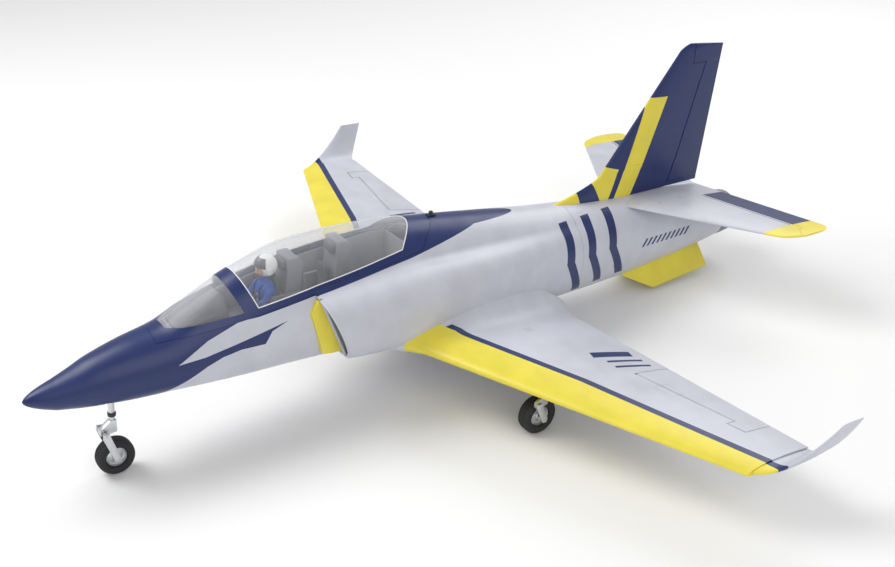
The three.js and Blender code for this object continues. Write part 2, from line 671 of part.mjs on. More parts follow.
const pilotBody = (() => {
  const ring = (z, wide, deep, y) => Array.from({ length: 12 }, (_, k) => {
    const a = (2 * Math.PI * k) / 12;
    return [wide * Math.cos(a), y + deep * Math.sin(a), z];
  });
  const torso = loft([
    ring(60.2, 17, 12, 388), ring(76, 19, 14, 388), ring(92, 21.5, 14, 387), ring(101, 20, 12, 387),
    ring(106, 12, 9, 387), ring(109.5, 7, 6.5, 387),
  ]);
  const arms = [-1, 1].map((side) => bar([side * 18.5, 384, 95], [side * 15, 360, 74], 5.6, 8, 4));
  return cut(join(torso, ...arms), box(0, 420, 80, 60, 32.7, 100));
})();
const pilotHead = (() => {
  const helmet = solid(new THREE.SphereGeometry(1, 12, 8).scale(16.5, 19.5, 18.5).translate(0, 389, 132));
  const face = solid(new THREE.SphereGeometry(1, 8, 6).scale(12.5, 15, 15).translate(0, 383, 126));
  const visor = solid(new THREE.SphereGeometry(1, 8, 6).scale(14.5, 16, 10).translate(0, 381.5, 139));
  return cut(join(helmet, face, visor), box(0, 387, 100, 60, 60, 20));
})();
const hatchLatch = join(
  box(0, 697, 156.5, 9, 16, 2.4),
  bar([0, 697, 157], [0, 697, 163], 4, 16, 3.4),
);
const latchSeat = join(box(0, 699, 155, 10, 27, 9), box(0, 699, 161, 10, 27, 9));

// ---- Landing gear ----
function wheel(at, { tyre, rim, width }) {
  const half = width / 2;
  const tyreShape = turned([
    [rim + 0.3, -half * 0.6], [rim + 6, -half], [tyre - 4, -half * 0.94], [tyre, -half * 0.4],
    [tyre, half * 0.4], [tyre - 4, half * 0.94], [rim + 6, half], [rim + 0.3, half * 0.6],
    [rim + 0.3, -half * 0.6],
  ], at, X, 20);
  const hub = turned([
    [2.3, -half * 0.6], [6, -half * 0.6], [rim - 2, -half * 0.25], [rim, -half * 0.6],
    [rim, half * 0.6], [rim - 2, half * 0.25], [6, half * 0.6], [2.3, half * 0.6], [2.3, -half * 0.6],
  ], at, X, 16);
  return { tyreShape, hub };
}

const nose = (() => {
  const { y, pivotZ, wheelZ } = NOSE_GEAR;
  const unit = cut(
    join(box(0, 100, pivotZ, 30, 26, 20), box(13, 119, pivotZ, 4, 22, 16), box(-13, 119, pivotZ, 4, 22, 16)),
    bar([-16, y, pivotZ], [16, y, pivotZ], 2.4, 12),
  );
  const trunnion = join(
    cut(box(0, y, pivotZ - 5, 20, 14, 19), bar([0, y, pivotZ - 20], [0, y, pivotZ - 2.6], 3.4, 16)),
    bar([-15, y, pivotZ], [15, y, pivotZ], 2, 12),
  );
  const [armY, armZ] = [112, wheelZ + 47];
  const strut = join(
    bar([0, y, pivotZ - 16], [0, y, pivotZ - 3], 3, 14),
    bar([0, y, pivotZ - 60], [0, y, pivotZ - 15], 5.2, 16),
    bar([0, y, pivotZ - 88], [0, y, pivotZ - 58], 4, 14),
    prism("yz", [
      [y - 5, pivotZ - 66], [y + 5, pivotZ - 66], [y + 5, armZ - 2], [armY + 4, armZ - 5],
      [armY - 5, armZ - 4], [armY - 5, armZ + 5],
    ], -5, 5),
  );
  const strutDone = cut(strut, bar([-7, armY, armZ], [7, armY, armZ], 2.35, 12));
  const arm = (side) => prism("yz", [
    [armY - 4, armZ + 4], [armY + 5, armZ + 3], [y + 4.5, wheelZ + 3], [y + 3, wheelZ - 4.5],
    [y - 4.5, wheelZ - 4],
    [armY - 5, armZ - 4],
  ], side > 0 ? 14 : -17, side > 0 ? 17 : -14);
  const link = join(
    arm(1), arm(-1),
    bar([-16.5, armY, armZ], [16.5, armY, armZ], 2, 12),
    bar([-18.5, y, wheelZ], [18.5, y, wheelZ], 2, 12),
  );
  return { unit, trunnion, strut: strutDone, link, ...wheel([0, y, wheelZ], NOSE_GEAR) };
})();

const main = (() => {
  const { x, y, pivotZ, wheelZ } = MAIN_GEAR;
  const top = x + 16;
  const unit = cut(
    join(
      box(top + 7, y, pivotZ, 12, 26, 13),
      box(top - 6, y + 11.5, pivotZ, 20, 3, 12),
      box(top - 6, y - 11.5, pivotZ, 20, 3, 12),
    ),
    bar([x + 8, y - 20, pivotZ], [x + 8, y + 20, pivotZ], 2.35, 12),
  );
  const [armY, armZ] = [y - 14, wheelZ + 30];
  const leg = cut(
    join(
      bar([x + 8, y - 13, pivotZ], [x + 8, y + 13, pivotZ], 2, 12),
      box(x + 8, y, pivotZ - 3, 10, 18, 16),
      bar([x + 8, y, pivotZ - 10], [x + 16, y, pivotZ - 24], 4.4, 14),
      prism("yz", [
        [y - 5, pivotZ - 18], [y + 5, pivotZ - 18], [y + 4, armZ - 2], [armY + 4, armZ - 5],
        [armY - 5, armZ - 4], [armY - 5, armZ + 5],
      ], x + 13.2, x + 19),
    ),
    bar([x + 10, armY, armZ], [x + 30, armY, armZ], 2.35, 12),
  );
  const link = join(
    prism("yz", [
      [armY - 4, armZ + 4], [armY + 4, armZ + 4], [y + 4.5, wheelZ + 3], [y + 3, wheelZ - 4.5],
      [y - 4.5, wheelZ - 4],
      [armY - 5, armZ - 4],
    ], x + 19.5, x + 22.5),
    bar([x + 11.5, armY, armZ], [x + 22, armY, armZ], 2, 12),
    bar([x - 9, y, wheelZ], [x + 22, y, wheelZ], 2, 12),
  );
  return { unit, leg, link, ...wheel([x, y, wheelZ], MAIN_GEAR) };
})();

// ---- Inside the fuselage ----
const battery = box(0, 400, 6, 49, 158, 44);
const batteryTray = join(
  box(0, 412, -19, 60, 220, 3),
  box(26, 400, -9, 2.4, 150, 18),
  box(-26, 400, -9, 2.4, 150, 18),
);
const speedController = join(
  box(0, 570, -14, 34, 74, 16),
  ...[-12, -4, 4, 12].map((x) => box(x, 570, -4.5, 2, 70, 6)),
);
const receiver = box(0, 650, -20, 24, 42, 12);
const wingSpar = cut(
  bar([-SPAR.reach, SPAR.y, SPAR.z], [SPAR.reach, SPAR.y, SPAR.z], SPAR.radius, 16),
  bar([-SPAR.reach - 1, SPAR.y, SPAR.z], [SPAR.reach + 1, SPAR.y, SPAR.z], SPAR.radius - 1.2, 12),
);
const tailSpar = tailSparBar(TAIL_SPAR.reach, TAIL_SPAR.radius);

// ---- Assembly ----
const airframe = new THREE.Group();
const finish = (color, roughness, metalness = 0) => ({ color, roughness, metalness });
const LOOK = {
  navy: finish(0x2a3960, 0.45),
  grey: finish(0xd2d3da, 0.5),
  yellow: finish(0xe6d852, 0.5),
  smoke: finish(0x8f9095, 0.6),
  dark: finish(0x3a3b40, 0.7),
  glass: { ...finish(0xdde2ea, 0.1), transparent: true, opacity: 0.35 },
  suit: finish(0x20529c, 0.7),
  helmet: finish(0xe8e6e0, 0.4),
  tyre: finish(0x17181a, 0.85),
  metal: finish(0xb9bcc2, 0.3, 0.9),
  black: finish(0x1c1d20, 0.6),
  carbon: finish(0x26272a, 0.4),
  battery: finish(0x2c4a8c, 0.5),
};
function add(name, shape, look) {
  const mesh = new THREE.Mesh(geometryOf(shape), new THREE.MeshStandardMaterial(look));
  mesh.name = name;
  airframe.add(mesh);
}
function addPair(name, shape, look) {
  add(`${name}_left`, shape, look);
  add(`${name}_right`, mirror(shape), look);
}

add("nose_cone", noseCone, LOOK.navy);
add("fuselage_front", cut(frontShell, latchSeat), LOOK.grey);
add("fuselage_tail", tailShell, LOOK.grey);
add("exhaust_nozzle", nozzle, LOOK.smoke);
add("intake_splitter_left", splitter(1), LOOK.yellow);
add("intake_splitter_right", splitter(-1), LOOK.yellow);
add("intake_duct_left", duct(1), LOOK.dark);
add("intake_duct_right", duct(-1), LOOK.dark);
add("fan_housing", fanHousing, LOOK.black);
add("fan_rotor", fanRotor, LOOK.black);
add("fan_motor", fanMotor, LOOK.metal);
add("thrust_tube", thrustTube, LOOK.smoke);
addPair("wing", wingPanel, LOOK.grey);
addPair("flap", flapBlank, LOOK.grey);
addPair("aileron", aileronBlank, LOOK.grey);
addPair("winglet", winglet, LOOK.grey);
add("wing_spar", wingSpar, LOOK.carbon);
addPair("stabiliser", stabiliser, LOOK.grey);
addPair("elevator", elevator, LOOK.navy);
add("tail_spar", tailSpar, LOOK.carbon);
add("fin", fin, LOOK.navy);
add("rudder", rudder, LOOK.navy);
addPair("ventral_fin", ventral(1), LOOK.yellow);
add("hatch_frame", hatchFrame, LOOK.navy);
add("windshield", windshield, LOOK.glass);
add("canopy_glass", canopyGlass, LOOK.glass);
add("cockpit_tub", cockpitTub, LOOK.smoke);
add("instrument_coaming", coaming, LOOK.dark);
add("pilot_seat", pilotSeat, LOOK.smoke);
add("rear_seat", rearSeat, LOOK.smoke);
add("pilot_body", pilotBody, LOOK.suit);
add("pilot_head", pilotHead, LOOK.helmet);
add("hatch_latch", hatchLatch, LOOK.black);
add("nose_gear_unit", nose.unit, LOOK.black);
add("nose_gear_trunnion", nose.trunnion, LOOK.metal);
add("nose_gear_strut", nose.strut, LOOK.metal);
add("nose_gear_link", nose.link, LOOK.metal);
add("nose_wheel_hub", nose.hub, LOOK.metal);
add("nose_tyre", nose.tyreShape, LOOK.tyre);
addPair("main_gear_unit", main.unit, LOOK.black);
addPair("main_gear_leg", main.leg, LOOK.metal);
addPair("main_gear_link", main.link, LOOK.metal);
addPair("main_wheel_hub", main.hub, LOOK.metal);
addPair("main_tyre", main.tyreShape, LOOK.tyre);
add("battery", battery, LOOK.battery);
add("battery_tray", batteryTray, LOOK.carbon);
add("speed_controller", speedController, LOOK.black);
add("receiver", receiver, LOOK.black);

// Set down on the wheels, with the origin on the ground under the middle of the bounding box.
airframe.rotation.x = -rad(ATTITUDE);
airframe.updateMatrixWorld(true);
const bounds = new THREE.Box3().setFromObject(airframe, true);
airframe.position.set(0, -(bounds.min.y + bounds.max.y) / 2, -bounds.min.z);
const jet = new THREE.Group();
jet.add(airframe);
export default jet;
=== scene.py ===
# Radio-controlled jet trainer of moulded foam on its three wheels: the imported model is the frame,
# and every visible skin, wheel and fitting is made here as a fine surface around it.
import json

import bmesh
import bpy
import numpy as np
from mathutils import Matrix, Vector


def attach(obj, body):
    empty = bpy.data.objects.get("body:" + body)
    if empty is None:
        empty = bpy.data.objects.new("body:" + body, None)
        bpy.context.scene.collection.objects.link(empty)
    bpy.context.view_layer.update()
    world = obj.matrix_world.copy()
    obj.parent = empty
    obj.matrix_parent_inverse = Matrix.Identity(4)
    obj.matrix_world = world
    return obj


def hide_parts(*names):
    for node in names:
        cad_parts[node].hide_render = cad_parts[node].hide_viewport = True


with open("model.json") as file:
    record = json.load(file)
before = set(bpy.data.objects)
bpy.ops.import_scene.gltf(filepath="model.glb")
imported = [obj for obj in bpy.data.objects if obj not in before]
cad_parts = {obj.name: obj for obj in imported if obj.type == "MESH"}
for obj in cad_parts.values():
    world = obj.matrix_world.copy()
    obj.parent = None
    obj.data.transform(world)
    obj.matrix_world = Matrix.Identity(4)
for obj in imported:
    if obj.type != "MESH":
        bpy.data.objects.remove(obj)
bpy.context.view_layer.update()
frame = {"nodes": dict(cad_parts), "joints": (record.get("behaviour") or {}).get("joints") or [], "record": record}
joints = {joint["name"]: joint for joint in frame["joints"]}

# ---- The airframe's own axes ----
# The jet is drawn nose-level in millimetres: x to port, y aft from the nose tip, z up.
# It sits nose-high on its wheels, and the nose leg's pivot ties the two sets of axes together.
NOSE_UP = np.radians(4)
PIVOT = np.array([0, 128, -3])
TURN = np.array([[1, 0, 0], [0, np.cos(NOSE_UP), np.sin(NOSE_UP)], [0, -np.sin(NOSE_UP), np.cos(NOSE_UP)]])
SHIFT = np.array(joints["nose_retract"]["pos_m"]) * 1000 - TURN @ PIVOT


def to_frame(points):
    """Airframe millimetres to the frame's metres: turn nose-up, then shift."""
    return (np.asarray(points, float) @ TURN.T + SHIFT) / 1000


# ---- Painted foam ----
# Skins are bead foam, sealed and sprayed with satin paint. A colour scheme is a list of coats, each
# a colour inside straight-edged or curved fields of the airframe's own millimetres.
GREY, NAVY, YELLOW = (0.55, 0.56, 0.63), (0.008, 0.022, 0.115), (0.78, 0.66, 0.06)


class Coat:
    """Node-building for one material: numbers come in as sockets or floats and go out as sockets."""

    def __init__(self, name):
        self.material = bpy.data.materials.new(name)
        self.material.use_nodes = True
        self.tree = self.material.node_tree
        self.shader = self.tree.nodes["Principled BSDF"]
        place = self.tree.nodes.new("ShaderNodeTexCoord")
        turn = self.tree.nodes.new("ShaderNodeMapping")
        turn.inputs["Scale"].default_value = (1000, 1000, 1000)
        turn.inputs["Rotation"].default_value = (NOSE_UP, 0, 0)
        turn.inputs["Location"].default_value = tuple(-(TURN.T @ SHIFT))
        self.link(place.outputs["Object"], turn.inputs["Vector"])
        self.place = turn.outputs["Vector"]
        split = self.tree.nodes.new("ShaderNodeSeparateXYZ")
        self.link(self.place, split.inputs[0])
        self.x, self.y, self.z = split.outputs
        self.side = self.math("ABSOLUTE", self.x)

    def link(self, value, socket):
        if isinstance(value, bpy.types.NodeSocket):
            self.tree.links.new(value, socket)
        else:
            socket.default_value = value

    def math(self, kind, *values):
        node = self.tree.nodes.new("ShaderNodeMath")
        node.operation = kind
        for value, socket in zip(values, node.inputs):
            self.link(value, socket)
        return node.outputs[0]

    def line(self, u, v, a, b):
        """Signed distance of (u, v) from the line a to b, positive on its left."""
        along = np.array(b, float) - a
        across = np.array([-along[1], along[0]]) / np.hypot(*along)
        part = self.math("MULTIPLY", v, float(across[1]))
        whole = self.math("MULTIPLY_ADD", u, float(across[0]), part)
        return self.math("SUBTRACT", whole, float(across @ np.array(a, float)))

    def field(self, u, v, corners):
        """1 inside a convex outline whose corners run anticlockwise in (u, v)."""
        inside = None
        for a, b in zip(corners, corners[1:] + corners[:1]):
            edge = self.line(u, v, a, b)
            inside = edge if inside is None else self.math("MINIMUM", inside, edge)
        return self.math("GREATER_THAN", inside, 0.0)

    def above(self, u, v, marks):
        """1 where v is over the polyline through marks, held level past its ends."""
        height = marks[0][1]
        for (u0, v0), (u1, v1) in zip(marks, marks[1:]):
            part = self.tree.nodes.new("ShaderNodeMapRange")
            for value, socket in zip((u, u0, u1, 0.0, v1 - v0), part.inputs):
                self.link(value, socket)
            height = self.math("ADD", height, part.outputs[0])
        return self.math("GREATER_THAN", v, height)

    def both(self, *masks):
        whole = masks[0]
        for mask in masks[1:]:
            whole = self.math("MULTIPLY", whole, mask)
        return whole

    def either(self, *masks):
        whole = masks[0]
        for mask in masks[1:]:
            whole = self.math("MAXIMUM", whole, mask)
        return whole

    def between(self, value, low, high):
        return self.both(self.math("GREATER_THAN", value, low), self.math("LESS_THAN", value, high))

    def noise(self, scale, detail=3.0, stretch=None):
        node = self.tree.nodes.new("ShaderNodeTexNoise")
        node.inputs["Scale"].default_value, node.inputs["Detail"].default_value = scale, detail
        source = self.place
        if stretch:
            pull = self.tree.nodes.new("ShaderNodeMapping")
            pull.inputs["Scale"].default_value = stretch
            self.link(self.place, pull.inputs["Vector"])
            source = pull.outputs["Vector"]
        self.link(source, node.inputs["Vector"])
        return node.outputs[0]

    def blend(self, mask, low, high):
        node = self.tree.nodes.new("ShaderNodeMix")
        node.data_type = "RGBA"
        self.link(mask, node.inputs["Factor"])
        for value, socket in ((low, node.inputs["A"]), (high, node.inputs["B"])):
            self.link((*value, 1) if isinstance(value, tuple) else value, socket)
        return node.outputs["Result"]

    def spread(self, value, low, high):
        """Noise about one half, stretched to a range."""
        part = self.tree.nodes.new("ShaderNodeMapRange")
        for number, socket in zip((value, 0.3, 0.7, low, high), part.inputs):
            self.link(number, socket)
        return part.outputs[0]

    def finish(self, colour, roughness, bump=0.0, height=None, metallic=0.0, wear=0.06):
        """Colour with faint mottling, roughness with a soft drift, and grain as bump."""
        drift = self.noise(0.02, 4.0)
        fine = self.noise(0.9, 2.0)
        dull = self.math("MULTIPLY_ADD", self.spread(drift, -1.0, 1.0), wear, 1.0)
        tone = self.tree.nodes.new("ShaderNodeHueSaturation")
        self.link((*colour, 1) if isinstance(colour, tuple) else colour, tone.inputs["Color"])
        self.link(dull, tone.inputs["Value"])
        self.link(tone.outputs[0], self.shader.inputs["Base Color"])
        self.link(self.spread(drift, roughness - 0.05, roughness + 0.07), self.shader.inputs["Roughness"])
        self.shader.inputs["Metallic"].default_value = metallic
        if bump:
            grain = self.math("MULTIPLY", fine, 0.05)
            relief = self.math("SUBTRACT", grain, height) if height is not None else grain
            node = self.tree.nodes.new("ShaderNodeBump")
            node.inputs["Strength"].default_value = bump
            node.inputs["Distance"].default_value = 0.0006
            self.link(relief, node.inputs["Height"])
            self.link(node.outputs[0], self.shader.inputs["Normal"])
        return self.material

    def paint(self, base, coats, grooves=(), roughness=0.36):
        """Coats over a base colour, then moulded panel lines as dark thin grooves."""
        colour = base
        for tint, mask in coats:
            colour = self.blend(mask, colour, tint)
        height = None
        if grooves:
            lines = self.either(*grooves)
            height = lines
            shade = self.tree.nodes.new("ShaderNodeMix")
            shade.data_type, shade.blend_type = "RGBA", "MULTIPLY"
            self.link(self.math("MULTIPLY", lines, 0.55), shade.inputs["Factor"])
            self.link(colour if not isinstance(colour, tuple) else (*colour, 1), shade.inputs["A"])
            shade.inputs["B"].default_value = (0.35, 0.36, 0.40, 1)
            colour = shade.outputs["Result"]
        return self.finish(colour, roughness, bump=0.35, height=height)

    def groove(self, u, v, a, b, width=0.7):
        """A thin line from a to b."""
        along = np.array(b, float) - a
        along /= np.hypot(*along)
        off = self.math("ABSOLUTE", self.line(u, v, a, b))
        run = self.math("MULTIPLY_ADD", u, float(along[0]), self.math("MULTIPLY", v, float(along[1])))
        thin = self.math("LESS_THAN", off, width / 2)
        low, high = (float(along @ np.array(end, float)) for end in (a, b))
        return self.both(thin, self.between(run, low, high))


# ---- Fuselage skin ----
# The tube of the fuselage is two foam halves glued on the centreline: an elliptical back over a
# squarer belly. Stations: y, half-width, height of the widest point, top, bottom, belly squareness.
BODY = np.array([
    [46, 23.5, 0, 23.5, -23.5, 2], [75, 31.5, 3, 35, -28, 2], [100, 38, 7, 46, -31, 2],
    [150, 48, 12, 61, -33.5, 2.1], [210, 57, 18, 75, -34, 2.2], [252, 62, 21, 97, -34.5, 2.3],
    [320, 70, 30, 132, -35, 2.4], [397, 75, 42, 160, -35, 2.5], [450, 77, 49, 168.5, -35.5, 2.6],
    [530, 78, 52, 169.5, -38, 2.7], [605, 76, 52, 165.5, -42, 2.7], [680, 75, 50, 157, -47, 2.6],
    [760, 76, 47, 147, -52, 2.5], [850, 77, 43, 135, -56, 2.4], [931, 75, 39, 125, -58, 2.3],
    [1010, 70, 36, 118, -58, 2.2], [1100, 63, 34, 112, -56, 2.1], [1200, 57, 33, 107, -50, 2],
    [1300, 51, 29, 95, -38, 2], [1345, 48.5, 27, 82, -30, 2], [1386, 46, 25, 71, -21, 2],
])
CONE_JOINT, TAIL_JOINT, NOZZLE_JOINT = 46, 985, 1386
FOAM_WALL = 6
BELLY_FLAT = -54


def station(table, y):
    """Smooth (Hermite) curve through each column of a table, slopes from the two neighbours."""
    y = np.asarray(y, float)
    i = np.clip(np.searchsorted(table[:, 0], y, side="right") - 1, 0, len(table) - 2)
    back = np.vstack([table[:1], table[:-1]])
    ahead = np.vstack([table[1:], table[-1:]])
    slope = (ahead - back) / (ahead[:, :1] - back[:, :1])
    a, b = table[i], table[i + 1]
    span = (b[..., :1] - a[..., :1])
    t = np.clip((y[..., None] - a[..., :1]) / span, 0, 1)
    ease = t * t * (3 - 2 * t)
    return a + (b - a) * ease + span * (t * (1 - t) ** 2 * slope[i] + t * t * (t - 1) * slope[i + 1])


def signed_power(value, power):
    return np.sign(value) * np.abs(value) ** power


def body_point(y, angle, inset=0.0):
    """Point of the skin: angle 0 is the port side's widest point and a quarter turn is the top.
    The back is an ellipse, and the belly a superellipse of the station's squareness, planed flat."""
    y, angle, inset = np.broadcast_arrays(y, angle, inset)
    _, half, wide, top, bottom, square = np.moveaxis(station(BODY, y), -1, 0)
    c, s = np.cos(angle), np.sin(angle)
    power = np.where(s < 0, 2 / square, 1)
    height = np.where(s < 0, wide - bottom, top - wide)
    z = wide + (height - inset) * signed_power(s, power)
    return np.stack([(half - inset) * signed_power(c, power), y, np.maximum(z, BELLY_FLAT + inset)], axis=-1)


def back_angle(y, z):
    """Angle at which the skin's upper half passes height z."""
    _, _, wide, top, _, _ = np.moveaxis(station(BODY, y), -1, 0)
    return np.arcsin(np.clip((z - wide) / (top - wide), 0, 1))


# The hatch lifts out above the sill line; ahead of and behind the hatch the line carries on as a seam.
SILL = np.array([[46, 12], [100, 32], [192, 60], [250, 68], [346, 84], [445, 101], [560, 116],
                 [650, 125], [700, 128], [800, 124], [900, 112], [985, 104]])
HATCH_FRONT, HATCH_REAR, HATCH_CORNER = 192, 688, 640
BOW, BOW_REACH = 46, 54


def sill_angle(y):
    return back_angle(y, np.interp(y, SILL[:, 0], SILL[:, 1]))


def across(y, s, low_angle):
    """Point over the back: s runs from -1 on the starboard seam to 1 on the port seam."""
    return body_point(y, np.pi / 2 - s * (np.pi / 2 - low_angle))


def bowed(rear, s, low_angle):
    """Where an edge bowed aft over the spine crosses the skin at s: rear less BOW (x / BOW_REACH) squared."""
    x = across(rear, s, low_angle(np.full_like(s, float(rear))))[..., 0]
    return rear - BOW * np.minimum(np.abs(x) / BOW_REACH, 1.6) ** 2


hull_y = np.concatenate([np.linspace(CONE_JOINT, HATCH_FRONT, 25)[:-1],
                         np.linspace(HATCH_FRONT, HATCH_CORNER, 70)[:-1],
                         np.linspace(HATCH_CORNER, TAIL_JOINT, 56)])
belly = np.linspace(0, 1, 97)
seam = sill_angle(hull_y)[:, None]
hull = body_point(hull_y[:, None], seam - belly * (np.pi + 2 * seam))
s_back = np.linspace(-1, 1, 49)
front_y = hull_y[hull_y <= HATCH_FRONT + 0.01]
front_deck = across(front_y[:, None], s_back, sill_angle(front_y)[:, None])
rear_y = hull_y[hull_y >= HATCH_CORNER - 0.01]
edge = bowed(HATCH_REAR, s_back, sill_angle)
edge[[0, -1]] = HATCH_CORNER
fade = np.clip(1 - np.arange(len(rear_y)) / 24, 0, 1)[:, None] ** 1.5
deck_y = rear_y[:, None] + (edge - HATCH_CORNER) * fade
rear_deck = across(deck_y, s_back, sill_angle(deck_y))

# Sides are grey under a navy back; the navy of the nose runs aft in an arrow, with a grey wedge above.
coat = Coat("fuselage_paint")
side_on = (coat.y, coat.z)
over_grey = coat.above(*side_on, [(216, 29), (263, 58), (315, 80), (345, 82), (445, 99), (560, 112),
                                  (620, 118), (720, 132), (767, 138), (915, 130)])
over_arrow = coat.above(*side_on, [(216, 29), (257, 34), (390, 68)])
arrow_belly = coat.above(*side_on, [(150, -50), (222, -5), (259, 18), (283, 29), (312, 36), (351, 37),
                                    (363, 56), (390, 68)])
BACK_FROM, ARROW_TAIL, BACK_TO = 216.0, 390.0, 915.0
under_back = coat.math("SUBTRACT", 1.0, over_grey)
grey_wedge = coat.both(over_arrow, under_back, coat.math("GREATER_THAN", coat.y, BACK_FROM))
off_wedge = coat.math("SUBTRACT", 1.0, grey_wedge)
nose_navy = coat.both(arrow_belly, coat.math("LESS_THAN", coat.y, ARROW_TAIL), off_wedge)
spine_navy = coat.both(over_grey, coat.between(coat.y, BACK_FROM, BACK_TO))


def chevron(top, kink, bottom, width=21):
    """Two slanted bars that meet at the kink, as a band across the side."""
    (y0, z0), (y1, z1), (y2, z2) = top, kink, bottom
    return coat.either(
        coat.field(*side_on, [(y1, z1), (y1 + width, z1), (y0 + width, z0), (y0, z0)]),
        coat.field(*side_on, [(y2, z2), (y2 + width, z2), (y1 + width, z1), (y1, z1)]),
    )


def slanted_bar(y, foot=22, head=38):
    """A thin bar that leans aft, one of the row of marks ahead of the nozzle."""
    return coat.field(*side_on, [(y, foot), (y + 6, foot), (y + 16, head), (y + 10, head)])


stripes = [chevron((946 + 57 * k, 107), (941 + 58 * k, 43), (976 + 60 * k, -27 + k)) for k in range(3)]
bar_row = [slanted_bar(1150 + 13 * k) for k in range(10)]
grooves = [coat.groove(*side_on, (TAIL_JOINT, -80), (TAIL_JOINT, 140), 0.9),
           coat.groove(*side_on, (700, -60), (700, -20)), coat.groove(*side_on, (118, -40), (118, 30))]
markings = [(NAVY, nose_navy), (NAVY, spine_navy), (NAVY, coat.either(*stripes, *bar_row))]
fuselage_paint = coat.paint(GREY, markings, grooves)


def grid_faces(rows, columns, wrap, first=0):
    """Quads between the rows and columns of a grid of points; wrap joins the last column to the first."""
    r, c = np.meshgrid(np.arange(rows - 1), np.arange(columns if wrap else columns - 1), indexing="ij")
    near, far = r * columns + c, r * columns + (c + 1) % columns
    return first + np.stack([near, far, far + columns, near + columns], axis=-1).reshape(-1, 4)


def settle(name, mesh, wall=0.0, bevel=0.0, sharp=35):
    """An object around a mesh, with its wall and its rounded edges applied and its shading smoothed."""
    made = bpy.data.objects.new(name, mesh)
    bpy.context.scene.collection.objects.link(made)
    if wall:
        shell = made.modifiers.new("wall", "SOLIDIFY")
        shell.thickness, shell.offset, shell.use_even_offset = wall / 1000, -1, False
    if bevel:
        edge = made.modifiers.new("edge", "BEVEL")
        edge.width, edge.segments, edge.angle_limit = bevel / 1000, 3, np.radians(40)
        edge.use_clamp_overlap = True
    if wall or bevel:
        made.data = bpy.data.meshes.new_from_object(made.evaluated_get(bpy.context.evaluated_depsgraph_get()))
        made.modifiers.clear()
    made.data.shade_smooth()
    made.data.set_sharp_from_angle(angle=np.radians(sharp))
    return made


def piece(name, grids, wall=0.0, core=None, bevel=0.0, sharp=35, ends=False, faces=None):
    """One mesh from grids of airframe points (points, wrap). Doubles are merged, faces turned outwards
    (away from the line x = core[0], z = core[1] on an open skin), and a wall or a bevel is applied."""
    points, quads, first = [], [], 0
    for spots, wrap in grids:
        rows, columns = spots.shape[:2]
        points.append(spots.reshape(-1, 3))
        quads += grid_faces(rows, columns, wrap, first).tolist()
        if ends:
            for row in (0, rows - 1):
                quads.append([first + row * columns + k for k in range(columns)])
        first += rows * columns
    if faces is not None:
        quads = faces
    mesh = bpy.data.meshes.new(name)
    mesh.from_pydata(to_frame(np.concatenate(points)), [], quads)
    work = bmesh.new()
    work.from_mesh(mesh)
    bmesh.ops.remove_doubles(work, verts=work.verts, dist=2e-5)
    bmesh.ops.dissolve_degenerate(work, edges=work.edges, dist=1e-6)
    bmesh.ops.recalc_face_normals(work, faces=work.faces)
    if core is not None:
        axis = to_frame([[core[0], 0, core[1]]])[0]
        slope = TURN @ np.array([0, 1, 0])
        facing = 0
        for face in work.faces:
            middle = np.array(face.calc_center_median()) - axis
            outward = middle - slope * (middle @ slope)
            facing += np.array(face.normal) @ outward * face.calc_area()
        if facing < 0:
            bmesh.ops.reverse_faces(work, faces=work.faces)
    work.to_mesh(mesh)
    work.free()
    return settle(name, mesh, wall, bevel, sharp)


def dress(made, material, body, slot, *nodes):
    """Finish, body and the CAD nodes that the piece stands for; the record slot is not used."""
    made.data.materials.clear()
    made.data.materials.append(material)
    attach(made, body)
    if nodes:
        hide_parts(*nodes)
    return made


shell = piece("fuselage_shell", [(hull, False), (front_deck, False), (rear_deck, False)], FOAM_WALL, (0, 40))
dress(shell, fuselage_paint, "airframe", "foam_grey", "fuselage_front")

tail_y = np.linspace(TAIL_JOINT + 0.35, NOZZLE_JOINT - 0.35, 60)[:, None]
round_about = np.linspace(0, 2 * np.pi, 96, endpoint=False)
tail = piece("fuselage_tail_shell", [(body_point(tail_y, round_about), True)], FOAM_WALL, (0, 30))
dress(tail, fuselage_paint, "airframe", "foam_grey", "fuselage_tail")

# ---- Nose cone ----
# A separate blunt ogive of hard foam, painted navy and pressed onto the front of the fuselage.
cone_y = CONE_JOINT * np.linspace(0, 1, 40) ** 2
cone_radius = 23.5 * (cone_y / CONE_JOINT) ** 0.58
cone = np.stack([cone_radius[:, None] * np.cos(round_about), np.broadcast_to(cone_y[:, None], (40, 96)),
                 cone_radius[:, None] * np.sin(round_about)], axis=-1)
coat = Coat("nose_paint")
nose_paint = coat.paint(NAVY, [], [])
dress(piece("nose_cone_skin", [(cone, True)], 4, (0, 0)), nose_paint, "airframe", "foam_navy", "nose_cone")

# ---- Intake trunks ----
# Each trunk is a bulge moulded with the fuselage side: an oval section faired into the body by a
# smooth maximum of the two radii. Stations: y, centre x, half-width, centre z, half-height.
TRUNK = np.array([
    [430, 70, 51, 42, 54], [470, 70, 53.5, 41, 59], [530, 70, 55, 40.5, 64], [610, 69, 54, 41, 67],
    [700, 66, 50, 40, 66], [800, 60, 46, 36, 66], [900, 50, 42, 32, 64], [1000, 38, 38, 28, 60],
    [1080, 26, 32, 28, 52],
])
TRUNK_SQUARE, HUB_Z, FILLET = 2.3, 45, 13


def oval(row, angle, inset, square):
    """Superellipse ring of one station row."""
    y, cx, half, cz, height = np.moveaxis(row, -1, 0)
    x = cx + (half - inset) * signed_power(np.cos(angle), 2 / square)
    z = cz + (height - inset) * signed_power(np.sin(angle), 2 / square)
    return np.stack([x, np.broadcast_to(y, x.shape), z], axis=-1)


def lip_y(z):
    """The mouth's plane leans: its top is forward of its bottom."""
    return 396.9 + 0.412 * (200 - z)


